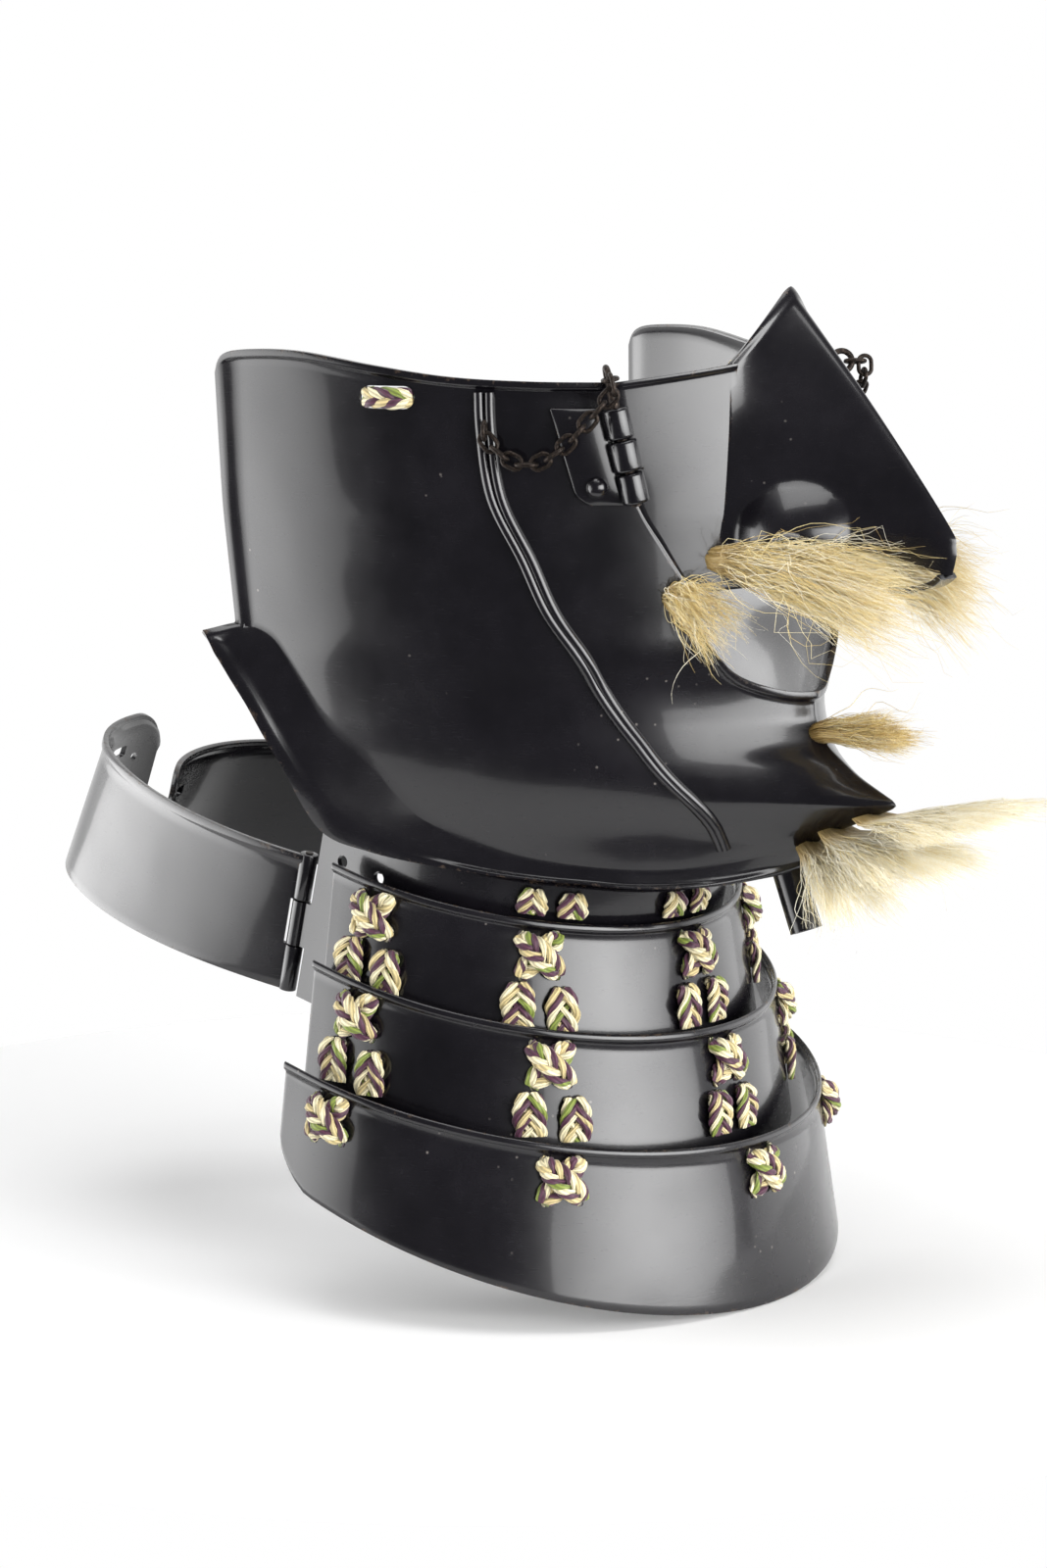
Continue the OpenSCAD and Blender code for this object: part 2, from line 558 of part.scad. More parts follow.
// The foot keeps its place behind the beard, whatever the depth of the chin
drain_behind = 1.4;
drain_foot = [0, face(0, beard_z[2])[1] + drain_behind, -64.5];
module drain_place() {
    translate(drain_foot) rotate([-drain_lean, 0, 0]) children();
}
module drain_tube() {
    color(BLACK) drain_place() difference() {
        cylinder(h = drain_l, r = drain_r);
        translate([0, 0, -1]) cylinder(h = drain_l + 2, r = drain_r - drain_wall);
    }
}

module cheek_cord(side) {
    color(SILK) on_face(slot_th, slot_z, 0, side) {
        translate([0, 1.9, 0]) rotate([0, 90, 0])
            cylinder(h = slot_l - slot_h - 1, r = 1.7, center = true);
        for (x = [-1, 1])
            translate([x*(slot_l - slot_h - 1)/2, -3, 0]) rotate([-90, 0, 0])
                cylinder(h = 5.4, r = 1.9);
    }
}

// A tuft: a strip of backing with a field of tapering strands, four sides each, fused to it.
// along and across span the backing, grow leads the strands, sag bends them; none of them cross.
module tuft(base, along, across, grow, nx, ny, w, h, length, fan, sag, back = 1.2) {
    function frac(x) = x - floor(x);
    function noise(i, j) = frac(sin(i*127.1 + j*311.7)*43.7);
    out = unit(cross(along, across));
    out_dir = out*grow > 0 ? out : -out;
    function cell(i, j) = along*(w*(i/nx - 0.5)) + across*(h*(j/ny - 0.5));
    top = [for (j = [0 : ny]) for (i = [0 : nx]) base + out_dir*back + cell(i, j)];
    low = [for (c = [[0, 0], [nx, 0], [nx, ny], [0, ny]]) base + cell(c[0], c[1])];
    function ring(i, j, s, r) =
        let (c = cell(i + 0.5, j + 0.5),
            reach = length*(0.8 + 0.2*noise(i, j)),
            p = base + out_dir*(back + 0) + c + c*fan*s + grow*(reach*s) + sag*s*s)
        [p - along*r - across*r, p + along*r - across*r, p + along*r + across*r, p - along*r + across*r];
    strands = [for (j = [0 : ny - 1]) for (i = [0 : nx - 1])
        each concat(ring(i, j, 0, strand_w/2), ring(i, j, 0.55, strand_w/2.6),
            [let (q = ring(i, j, 1, 0)) q[0]])];
    nt = len(top);
    points = concat(top, low, strands);
    faces_up = [for (j = [0 : ny - 1]) for (i = [0 : nx - 1])
        let (o = [j*(nx + 1) + i, j*(nx + 1) + i + 1, (j + 1)*(nx + 1) + i + 1, (j + 1)*(nx + 1) + i],
            s = nt + 4 + 9*(j*nx + i))
        each concat(
            [for (k = [0 : 3]) let (m = (k + 1) % 4) each [[o[k], o[m], s + m], [o[k], s + m, s + k]]],
            [for (k = [0 : 3]) let (m = (k + 1) % 4)
                each [[s + k, s + m, s + 4 + m], [s + k, s + 4 + m, s + 4 + k],
                    [s + 4 + k, s + 4 + m, s + 8]]])];
    walls = [
        concat([nt, nt + 1], [for (i = [nx : -1 : 0]) i]),
        concat([nt + 1, nt + 2], [for (j = [ny : -1 : 0]) j*(nx + 1) + nx]),
        concat([nt + 2, nt + 3], [for (i = [0 : nx]) ny*(nx + 1) + i]),
        concat([nt + 3, nt], [for (j = [0 : ny]) j*(nx + 1)]),
        [nt + 3, nt + 2, nt + 1, nt]];
    // Each wall is a fan of triangles from its first corner
    fans = [for (w = walls) for (k = [1 : len(w) - 2]) [w[0], w[k], w[k + 1]]];
    all = concat(faces_up, fans);
    // The winding depends on which way the backing faces
    turned = cross(along, across)*out_dir > 0 ? [for (f = all) [for (k = [len(f) - 1 : -1 : 0]) f[k]]] : all;
    polyhedron(points, turned);
}
// A tuft that grows on the face at an angle and height
module face_tuft(th, z, roll, grow, nx, ny, w, h, length, fan, sag) {
    n = face_n(th, z);
    level = unit(cross([0, 0, 1], n));
    rise = cross(n, level);
    along = level*cos(roll) + rise*sin(roll);
    across = rise*cos(roll) - level*sin(roll);
    tuft(face(th, z) + n*0.35, along, across, unit(grow), nx, ny, w, h, length, fan, sag);
}

module moustache(side) {
    color(STRAW) mirror([side < 0 ? 1 : 0, 0, 0])
        face_tuft(28.6, 20.8, 60, [0.12, -1, 0.04], 8, 6, 5.5, 5, moustache_l, 1.7, [3, 0, -11]);
}
module corner_tuft(side) {
    color(STRAW) mirror([side < 0 ? 1 : 0, 0, 0])
        face_tuft(35.6, 12.6, 70, [0.15, -1, -0.3], 6, 5, 5, 4, tuft_l*0.8, 2.2, [1, 0, -6]);
}
module lip_tuft() {
    color(STRAW) face_tuft(0, -19, 0, [0, -1, 0], 7, 5, 6.5, 4, tuft_l, 0.7, [0, 0, 1.5]);
}
// The beard grows from the chin's underside in three tufts, one behind the other
module beard(k) {
    z = beard_z[k];
    lean = [[0, -1, 0.14], [0, -1, -0.08], [0, -0.8, -0.5]][k];
    fan = [2.4, 2.2, 2][k];
    sag = [[0, 0, -6], [0, 0, -7], [0, 0, -3]][k];
    color(STRAW) face_tuft(0, z, 0, lean, 9, 5, 11, 3.4, beard_l*(1.05 - 0.28*k), fan, sag);
}

// Neck ring: made in the frame of the ring, which leans by the tilt
module ring_frame() {
    rotate([tilt, 0, 0]) children();
}
collar_top = -35.6;
collar_end = -18.4;
module arc_wall(r, t, z0, z1, a0, a1) {
    translate([0, 0, z0]) rotate_extrude(angle = a1 - a0, start = a0)
        translate([r - t, 0]) square([t, z1 - z0]);
}
hinge_x = collar_r - band_t/2;
hinge_y = -14.8;
band_top = -50.5;
neck_l = band_h/3;
// Middle knuckle of the neck hinge belongs to the collar, the outer two to the band
module neck_barrel(z0, length) {
    translate([0, 0, z0]) cylinder(h = length, r = neck_knuckle_r);
}
neck_bore_r = neck_pin_r + pin_clear;
module neck_collar() {
    color(BLACK) ring_frame() difference() {
        union() {
            translate([0, ring_y, 0]) arc_wall(collar_r, band_t, collar_top - collar_h, collar_top, 180, 360);
            for (side = [-1, 1]) {
                translate([side > 0 ? collar_r - band_t : -collar_r, ring_y, collar_top - collar_h])
                    cube([band_t, collar_end - ring_y, collar_h]);
                translate([side*hinge_x, hinge_y, band_top - 2*neck_l + knuckle_gap/2])
                    cylinder(h = neck_l - knuckle_gap, r = neck_knuckle_r);
                translate([side > 0 ? collar_r - band_t : -collar_r, collar_end - 1,
                    band_top - 2*neck_l + knuckle_gap/2])
                    cube([band_t, hinge_y - collar_end + 1, neck_l - knuckle_gap]);
            }
        }
        for (side = [-1, 1])
            translate([side*hinge_x, hinge_y, band_top - band_h - 5])
                cylinder(h = band_h + 10, r = neck_bore_r);
        for (a = [-column_2, 0, column_2]) for (x = [-1, 1])
            lace_hole_ring(a + x*pair_turn/collar_r);
        // Two bare holes by each rear edge
        for (side = [-1, 1]) for (y = [-25.6, -37])
            translate([side*(collar_r - 5), y, -48.4]) rotate([0, 90, 0])
                cylinder(h = 16, r = 1.5, center = true);
    }
}

// The neck band's plan: a slack arc from the hinge, then a tight one round the nape;
// its lower edge stands out towards the nape
slack_c = [31.9, 13.7];
slack_r = 88;
nape_r = 38;
bend_a = 148.3;
start_a = 199.3;
band_flare = 5.5;
corner_r = 9;
knuckle_proud = 0.2;
nape_c = [slack_c.x + (slack_r - nape_r)*cos(bend_a), slack_c.y + (slack_r - nape_r)*sin(bend_a)];
slack_l = (start_a - bend_a)*slack_r/57.3;
// A point of the band by its length from the hinge, and the outward direction there
function band_dir(l) = let (a = l < slack_l ? start_a - l/slack_r*57.3 : bend_a - (l - slack_l)/nape_r*57.3)
    [cos(a), sin(a), 0];
function band_xy(l) = let (d = band_dir(l))
    l < slack_l ? [slack_c.x + slack_r*d.x, slack_c.y + slack_r*d.y] : [nape_c.x + nape_r*d.x, nape_c.y + nape_r*d.y];
function band_out(l) = let (t = min(1, l/slack_l)) band_flare*t*t*(3 - 2*t);
function corner_cut(l, total) = let (d = total - l) d > corner_r ? 0
    : corner_r - sqrt(max(0, corner_r*corner_r - (corner_r - d)*(corner_r - d)));
module band_sheet(total, side) {
    ls = concat([for (k = [0 : 18]) (total - corner_r)*k/18], [for (a = [15 : 15 : 90]) total - corner_r*(1 - sin(a)) - EPS]);
    vs = [0, 0.05, 0.06, 0.5, 1];
    right = [for (v = vs) [for (l = ls)
        let (c = min(corner_cut(l, total), band_h/2 - 0.5), z = band_top - c - v*(band_h - 2*c),
            p = band_xy(l), d = band_dir(l), o = band_out(l)*(band_top - z)/band_h)
        [p.x + d.x*o, p.y + d.y*o, z]]];
    g = side > 0 ? right : [for (r = right) [for (k = [len(r) - 1 : -1 : 0]) mirrored(r[k])]];
    lift = [for (r = [0 : len(vs) - 1]) [for (l = ls) r < 2 ? 0.7 : 0]];
    inner = [for (r = g) [for (p = r) -band_t]];
    sheet(offset_grid(g, lift), offset_grid(g, inner));
}
module band_shape(extra, side) {
    total = slack_l + (bend_a - 84)/57.3*nape_r + extra;
    difference() {
        union() {
            band_sheet(total, side);
            for (z = [band_top - neck_l + knuckle_gap/2, band_top - band_h - knuckle_proud])
                translate([-side*hinge_x, hinge_y, z])
                    cylinder(h = neck_l - knuckle_gap/2 + knuckle_proud, r = neck_knuckle_r);
        }
        translate([-side*hinge_x, hinge_y, band_top - 2*neck_l])
            cylinder(h = neck_l, r = neck_knuckle_r + 0.5);
        translate([-side*hinge_x, hinge_y, band_top - band_h - 5])
            cylinder(h = band_h + 10, r = neck_bore_r);
        // A slot and a hole for the tying cord near the free end
        band_cut(total - 16, 9, side) cube([12, 7, 3], center = true);
        band_cut(total - 8, 11.5, side) rotate([0, 90, 0]) cylinder(h = 12, r = 1.2, center = true);
    }
}
module band_cut(l, drop, side) {
    p = band_xy(l);
    d = band_dir(l);
    translate([side*p.x, p.y, band_top - drop]) rotate([0, 0, atan2(d.y, side*d.x)]) children();
}
module neck_band_right() {
    color(BLACK) ring_frame() band_shape(0, 1);
}
module neck_band_left() {
    color(BLACK) ring_frame()
        translate([hinge_x, hinge_y, 0]) rotate([0, 0, left_swing]) translate([-hinge_x, -hinge_y, 0])
            band_shape(tongue, -1);
}
module neck_hinge_pins() {
    color(IRON) ring_frame() for (side = [-1, 1])
        translate([side*hinge_x, hinge_y, band_top - band_h - 0.5]) cylinder(h = band_h + 1, r = neck_pin_r);
}

// Throat lames: upright cones whose rims lie in planes that lean by the tilt
LAME_Y = [-19, -21, -22];
lame_end_y = -16;
function lame_rad(i) = lame_r + (i > 0 ? grow_2 : 0) + (i > 1 ? grow_3 : 0);
function lame_top(i) = -52.8 - pitch*i;
// Radius and height of a lame's outer face at an angle, a given drop below its rim
function wall_r(i, a, drop) = (lame_rad(i) + flare*drop)/(1 - flare*tan(tilt)*cos(a));
function wall_z(i, a, drop) = lame_top(i) - tan(tilt)*wall_r(i, a, drop)*cos(a) - drop;

module cone_wall(i, t_out, t_in) {
    high = lame_top(i) + 20;
    low = lame_top(i) - 80;
    r_high = lame_rad(i) - 20*flare;
    r_low = lame_rad(i) + 80*flare;
    profile = [[r_high - t_in, high], [r_high + t_out, high], [r_low + t_out, low], [r_low - t_in, low]];
    side_l = lame_end_y - LAME_Y[i];
    translate([0, LAME_Y[i], 0]) {
        rotate_extrude(angle = 180, start = 180) polygon(profile);
        for (side = [0, 1])
            mirror([side, 0, 0]) translate([0, side_l, 0]) rotate([90, 0, 0])
                linear_extrude(side_l) polygon(profile);
    }
}
// Side view of a lame as a region of the Y and Z axes
module lame_side(i, h_rear, h_front, r) {
    z0 = lame_top(i) + tan(tilt)*(lame_end_y - LAME_Y[i]);
    fall = tan(tilt)*100;
    difference() {
        polygon([[lame_end_y, z0], [lame_end_y, z0 - h_rear],
            [lame_end_y - 100, z0 - fall - h_front], [lame_end_y - 100, z0 - fall]]);
        if (r > 0) translate([lame_end_y - r, z0 - h_rear]) difference() {
            translate([0, -r]) square([r + 1, 2*r]);
            translate([0, r - 3]) circle(r);
        }
    }
}
module side_slab(i, h_rear, h_front, r = 0) {
    translate([-120, 0, 0]) rotate([90, 0, 90]) linear_extrude(240) lame_side(i, h_rear, h_front, r);
}
module on_lame(i, a, drop) {
    r = wall_r(i, a, drop);
    translate([-r*sin(a), LAME_Y[i] - r*cos(a), wall_z(i, a, drop)])
        rotate([0, 0, 180 - a]) rotate([atan(flare), 0, 0]) children();
}
knot_drop = 7.7;
hole_dz = 3.9;
// Arc from a column to each lace of its pair, times the radius, in degrees
pair_turn = pair_dx*57.3;
hole_r = braid_r + 0.2;
pair_rise = 6.5;
module cross_holes(i) {
    for (a = columns(i)) for (x = [-1, 1]) for (z = [-1, 1])
        on_lame(i, a, knot_drop) translate([x*hole_dx, 0, z*hole_dz]) rotate([90, 0, 0])
            cylinder(h = 10, r = hole_r, center = true);
}
// Holes from which the laces of the next lame leave this one
module pair_holes(i) {
    for (a = columns(i)) for (x = [-1, 1])
        on_lame(i, a + x*pair_turn/lame_rad(i), pitch - pair_rise) rotate([90, 0, 0])
            cylinder(h = 10, r = lace_r + 0.3, center = true);
}
module throat_lame(i) {
    last = i == 2;
    color(BLACK) difference() {
        union() {
            intersection() {
                cone_wall(i, 0, band_t);
                side_slab(i, last ? skirt_rear : lame_h, last ? skirt_h : lame_h, last ? skirt_corner : 0);
            }
            intersection() {
                cone_wall(i, bead, band_t - 0.3);
                side_slab(i, bead_h, bead_h);
            }
        }
        cross_holes(i);
        if (!last) pair_holes(i);
    }
}

// Two plaits that cross, each two cords wide, one over the other, with their ends in four holes
module cross_knots(i) {
    lean = atan2(hole_dx, hole_dz);
    leg = norm([hole_dx, hole_dz]);
    color(SILK) for (a = columns(i)) on_lame(i, a, knot_drop)
        for (x = [-1, 1]) {
            out = braid_r + (x > 0 ? 1.5*braid_r : 0.45);
            for (e = [-1, 1]) translate([0, out, 0]) rotate([0, x*lean, 0]) translate([e*0.85*braid_r, 0, 0]) {
                cylinder(h = 2*leg - 0.8, r = braid_r, center = true);
                for (z = [-1, 1]) translate([0, 0, z*(leg - 0.4)]) sphere(braid_r + 0.03);
            }
            for (z = [-1, 1])
                translate([x*z*hole_dx, out, z*hole_dz]) rotate([90, 0, 0])
                    cylinder(h = out + band_t + 0.4, r = braid_r - 0.05);
        }
}

// Laces that leave lame i (or the collar) and run down behind the rim of the lame below
// The rear columns stand a little further back on each lower lame
function column_back(i) = column_3 + 1.8*i;
function columns(i) = [-column_back(i), -column_2, 0, column_2, column_back(i)];
function column_set(i, k) = k == 0 ? [0] : k == 1 ? [-column_2, column_2] : [-column_back(i), column_back(i)];
// Each lace is a plait three cords wide that comes out of its hole as a loop
module lace_run(length) {
    out = lace_r + 0.16;
    for (e = [-1, 0, 1]) {
        top = e == 0 ? 0.2 : 0.9;
        translate([e*1.75*lace_r, out, -length]) cylinder(h = length - top, r = lace_r);
        translate([e*1.75*lace_r, out, -top]) sphere(lace_r + 0.03);
    }
    rotate([90, 0, 0]) translate([0, 0, -out]) cylinder(h = out + band_t, r = lace_r + 0.1);
}
lace_len = pair_rise + 2;
module laces(i, k) {
    color(SILK) for (a = column_set(i, k)) for (x = [-1, 1])
        on_lame(i, a + x*pair_turn/lame_rad(i), pitch - pair_rise) lace_run(lace_len);
}
// The collar's laces leave it just under the jaw
collar_lace_z = -42.4;
module on_collar(a) {
    translate([-collar_r*sin(a), ring_y - collar_r*cos(a), collar_lace_z]) rotate([0, 0, 180 - a]) children();
}
module lace_hole_ring(a) {
    on_collar(a) rotate([90, 0, 0]) cylinder(h = 10, r = lace_r + 0.3, center = true);
}
module collar_laces(k) {
    color(SILK) ring_frame() for (a = column_set(0, k)) for (x = [-1, 1])
        on_collar(a + x*pair_turn/collar_r) lace_run(4.4);
}

mask_plate();
nose_plate();
hinge_leaf(1);  // hinge_leaf_right
hinge_leaf(-1);  // hinge_leaf_left
nose_knuckle(1);  // nose_knuckle_right
nose_knuckle(-1);  // nose_knuckle_left
leaf_rivets();
chain_staples();
nose_pin(1);  // nose_pin_right
nose_pin(-1);  // nose_pin_left
pin_chain(1);  // pin_chain_right
pin_chain(-1);  // pin_chain_left
drain_tube();
cheek_cord(1);  // cheek_cord_right
cheek_cord(-1);  // cheek_cord_left
moustache(1);  // moustache_right
moustache(-1);  // moustache_left
corner_tuft(1);  // corner_tuft_right
corner_tuft(-1);  // corner_tuft_left
lip_tuft();
beard(0);  // beard_front
beard(1);  // beard_middle
beard(2);  // beard_rear
neck_collar();
neck_band_right();
neck_band_left();
neck_hinge_pins();
throat_lame(0);  // throat_lame_1
throat_lame(1);  // throat_lame_2
throat_lame(2);  // throat_lame_3
cross_knots(0);  // cross_knots_1
cross_knots(1);  // cross_knots_2
cross_knots(2);  // cross_knots_3
collar_laces(0);  // collar_laces_front
collar_laces(1);  // collar_laces_side
laces(0, 0);  // upper_laces_front
laces(0, 1);  // upper_laces_side
laces(0, 2);  // upper_laces_rear
laces(1, 0);  // lower_laces_front
laces(1, 1);  // lower_laces_side
laces(1, 2);  // lower_laces_rear
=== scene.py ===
# %% [markdown]
# # An armour half mask with a throat guard
# The object is a lacquered iron mask for the lower half of the face. A nose plate is pinned to it,
# a hinged ring and three laced lames hang below it, and it wears a moustache and a beard of horsehair.
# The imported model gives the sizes, the joints and the small rigid pieces. This lesson dresses it:
# smooth plates, hair, braid, finishes, lamps and a camera.

# %% Load the frame
import json
import math
import random

import bpy
import numpy as np
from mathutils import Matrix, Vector

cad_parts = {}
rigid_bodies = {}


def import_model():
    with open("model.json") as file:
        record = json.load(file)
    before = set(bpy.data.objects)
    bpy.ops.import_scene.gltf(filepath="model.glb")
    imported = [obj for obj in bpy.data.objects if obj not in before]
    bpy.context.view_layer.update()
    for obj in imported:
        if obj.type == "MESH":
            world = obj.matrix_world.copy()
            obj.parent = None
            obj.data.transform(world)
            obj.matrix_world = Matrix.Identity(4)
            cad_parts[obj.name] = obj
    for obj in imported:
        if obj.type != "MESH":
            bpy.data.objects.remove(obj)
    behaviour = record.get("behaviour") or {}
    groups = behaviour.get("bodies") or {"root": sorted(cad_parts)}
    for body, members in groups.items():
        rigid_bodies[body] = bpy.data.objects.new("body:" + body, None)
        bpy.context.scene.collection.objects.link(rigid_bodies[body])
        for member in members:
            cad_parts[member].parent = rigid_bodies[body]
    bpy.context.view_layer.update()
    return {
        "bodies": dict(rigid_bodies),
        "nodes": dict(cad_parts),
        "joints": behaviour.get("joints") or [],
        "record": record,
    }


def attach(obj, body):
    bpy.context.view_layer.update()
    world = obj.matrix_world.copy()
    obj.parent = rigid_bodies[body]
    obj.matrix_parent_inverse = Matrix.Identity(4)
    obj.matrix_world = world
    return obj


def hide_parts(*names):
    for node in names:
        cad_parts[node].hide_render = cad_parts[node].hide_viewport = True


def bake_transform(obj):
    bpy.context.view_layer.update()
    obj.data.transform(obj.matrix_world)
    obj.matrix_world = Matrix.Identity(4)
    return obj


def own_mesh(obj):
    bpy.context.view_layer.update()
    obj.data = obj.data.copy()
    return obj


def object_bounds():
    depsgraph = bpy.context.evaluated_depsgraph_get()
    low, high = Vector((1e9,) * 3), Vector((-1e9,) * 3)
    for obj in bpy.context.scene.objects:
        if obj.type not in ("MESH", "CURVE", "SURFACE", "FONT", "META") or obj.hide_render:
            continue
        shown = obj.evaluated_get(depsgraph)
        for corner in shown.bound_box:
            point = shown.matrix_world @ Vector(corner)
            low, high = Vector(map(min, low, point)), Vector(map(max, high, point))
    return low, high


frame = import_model()
bpy.ops.object.select_all(action="DESELECT")
# Lengths are in millimetres. DEG is the number of degrees in a radian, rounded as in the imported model.
MM, DEG = 0.001, 57.3
MIRROR, UP = np.array([-1, 1, 1]), np.array([0, 0, 1.0])


def sin_d(a):
    return math.sin(math.radians(a))


def cos_d(a):
    return math.cos(math.radians(a))


def level_way(a):
    """A level direction at an angle in radians from +X."""
    return np.array([math.cos(a), math.sin(a), 0])


def seen_from(azimuth, elevation):
    """The direction of a viewer, with azimuth 0 in front of the face, both in radians."""
    return np.array([math.sin(azimuth)*math.cos(elevation), -math.cos(azimuth)*math.cos(elevation),
                     math.sin(elevation)])

# %% [markdown]
# ## The camera
# The photograph looks at the wearer's right front, a little from above, from about a metre away.
# The camera comes first, because every later look at the work goes through it.

# %% Camera
AZIMUTH, ELEVATION, DISTANCE = math.radians(-50), math.radians(9.3), 950
AIM = np.array([0, -26.25, -39.82])
FOCAL_PIXELS, PHOTO_PIXELS, SENSOR = 4085, 1600, 24
bpy.ops.object.camera_add(location=tuple((AIM + DISTANCE*seen_from(AZIMUTH, ELEVATION))*MM),
                          rotation=(math.pi/2 - ELEVATION, 0, AZIMUTH))
camera = bpy.context.object
camera.name = "photo_camera"
camera.data.sensor_fit = "VERTICAL"
camera.data.sensor_height = SENSOR
camera.data.lens = FOCAL_PIXELS/PHOTO_PIXELS*SENSOR
camera.data.clip_start = 0.01
bpy.context.scene.camera = camera
bpy.context.scene.view_settings.view_transform = "Standard"
print("camera stands at", [round(c, 3) for c in camera.location])

# %% [markdown]
# ## Tools for finishes
# A finish is a small graph of nodes. One function adds a node with its settings and its links, and
# one turns the sRGB hex of a colour, as read from a swatch, into the linear values that shaders use.

# %% Colour and node helpers
def linear(code):
    """sRGB hex to a linear RGBA colour."""
    parts = [int(code[k:k + 2], 16)/255 for k in (1, 3, 5)]
    return tuple(c/12.92 if c <= 0.04045 else ((c + 0.055)/1.055)**2.4 for c in parts) + (1.0,)


def node(tree, kind, settings=None, **links):
    """Add a node, set its properties, then fill or link its inputs by name, or by number as i0, i1, i2."""
    made = tree.nodes.new(kind)
    for key, value in (settings or {}).items():
        setattr(made, key, value)
    for key, value in links.items():
        numbered = key[0] == "i" and key[1:].isdigit()
        socket = made.inputs[int(key[1:])] if numbered else made.inputs[key.replace("_", " ")]
        if isinstance(value, bpy.types.NodeSocket):
            tree.links.new(value, socket)
        else:
            socket.default_value = value
    return made


def ramp(tree, source, stops, interpolation="LINEAR"):
    """A colour ramp over a value, with its stops given as place and hex colour."""
    made = node(tree, "ShaderNodeValToRGB", Fac=source)
    made.color_ramp.interpolation = interpolation
    line = made.color_ramp.elements
    while len(line) < len(stops):
        line.new(0.5)
    for spot, (place, code) in zip(line, stops):
        spot.position = place
        spot.color = linear(code)
    return made.outputs[0]


def maths(tree, operation, *values):
    """A maths node over values or sockets."""
    inputs = {f"i{k}": value for k, value in enumerate(values)}
    return node(tree, "ShaderNodeMath", {"operation": operation}, **inputs).outputs[0]


def remap(tree, value, low, high, new_low=0.0, new_high=1.0):
    """A value stretched from one range to another and kept inside it."""
    return node(tree, "ShaderNodeMapRange", Value=value, From_Min=low, From_Max=high, To_Min=new_low,
                To_Max=new_high).outputs[0]


def mixed(tree, share, a, b, blend="MIX"):
    return node(tree, "ShaderNodeMix", {"data_type": "RGBA", "blend_type": blend}, i0=share, i6=a, i7=b).outputs[2]


def noise(tree, where, scale, detail, **more):
    return node(tree, "ShaderNodeTexNoise", Vector=where, Scale=scale, Detail=detail, **more).outputs["Fac"]


def carried(tree, name):
    """A number that the points of the mesh carry."""
    return node(tree, "ShaderNodeAttribute", {"attribute_name": name}).outputs["Fac"]


def bumps(tree, shader, height, strength, distance, sockets=("Normal",)):
    made = node(tree, "ShaderNodeBump", Height=height, Strength=strength, Distance=distance)
    for socket in sockets:
        tree.links.new(made.outputs[0], shader.inputs[socket])


def object_place(tree):
    """The place on the object, in metres."""
    return node(tree, "ShaderNodeTexCoord").outputs["Object"]


def finish(name):
    """A new material with its node tree and its main shader."""
    made = bpy.data.materials.new(name)
    made.use_nodes = True
    return made, made.node_tree, made.node_tree.nodes["Principled BSDF"]

# %% [markdown]
# ## Black lacquer over iron
# Lacquer is a hard clear resin with black in it, brushed on in many coats and rubbed to a gloss. Its
# index of refraction is near 1.5. The eye reads it by what it mirrors, so the hand-beaten waviness of
# the iron below, fine rubbing scratches, specks of dust and brown wear at the edges matter more than
# its colour. The wear is drawn from an attribute that each plate carries along its edges.

# %% Black lacquer
black_lacquer, tree, shader = finish("black_lacquer_over_iron")
where = object_place(tree)
# The beaten iron has shallow waves 22 mm apart
waves = noise(tree, where, 45.0, 0.4)
# Scratches are 0.3 mm apart and run mostly along the plates
streaks = node(tree, "ShaderNodeMapping", Vector=where, Scale=(260.0, 260.0, 3600.0)).outputs[0]
scratch = noise(tree, streaks, 1.0, 3.0, Roughness=0.7)
# Specks of dust and small chips are 0.4 mm across and come in patches
specks = node(tree, "ShaderNodeTexVoronoi", Vector=where, Scale=260.0).outputs["Distance"]
patches = noise(tree, where, 38.0, 5.0, Roughness=0.65)
speck = maths(tree, "MULTIPLY", remap(tree, specks, 0.1, 0.05), remap(tree, patches, 0.54, 0.62))
# The lacquer is rubbed to brown near an edge, where the grain is high too
grain = noise(tree, where, 420.0, 4.0, Roughness=0.7)
worn = remap(tree, maths(tree, "MULTIPLY_ADD", carried(tree, "edge"), 0.62, grain), 1.12, 1.3)
deep = ramp(tree, patches, [(0.3, "#070609"), (0.7, "#121015")])
brown = ramp(tree, grain, [(0.3, "#221a15"), (0.7, "#463628")])
dusted = mixed(tree, speck, mixed(tree, worn, deep, brown), linear("#6e6965"))
tree.links.new(dusted, shader.inputs["Base Color"])
rough = remap(tree, patches, 0.3, 0.75, 0.19, 0.32)
rough = maths(tree, "MULTIPLY_ADD", remap(tree, scratch, 0.62, 0.78), 0.12, rough)
tree.links.new(maths(tree, "MULTIPLY_ADD", worn, 0.3, rough), shader.inputs["Roughness"])
shader.inputs["IOR"].default_value = 1.47
shader.inputs["Coat Weight"].default_value = 0.4
shader.inputs["Coat Roughness"].default_value = 0.06
height = maths(tree, "MULTIPLY_ADD", worn, -0.03, maths(tree, "MULTIPLY_ADD", scratch, 0.006, waves))
bumps(tree, shader, height, 0.6, 0.0011, ("Normal", "Coat Normal"))

# %% [markdown]
# ## Brown patinated iron
# The pins, rings and chains are bare wrought iron that has been darkened to a brown-black patina. It
# is a metal, but the patina makes it rough and takes most of its shine.

# %% Patinated iron
patinated_iron, tree, shader = finish("brown_patinated_iron")
where = object_place(tree)
# Pits and scale of the forged surface, 0.5 mm across
pits = noise(tree, where, 1900.0, 5.0, Roughness=0.7)
patina = ramp(tree, pits, [(0.35, "#120f0d"), (0.55, "#2e2621"), (0.72, "#5c4f45")])
tree.links.new(patina, shader.inputs["Base Color"])
shader.inputs["Metallic"].default_value = 0.75
tree.links.new(remap(tree, pits, 0.0, 1.0, 0.3, 0.62), shader.inputs["Roughness"])
bumps(tree, shader, pits, 0.5, 0.0002)

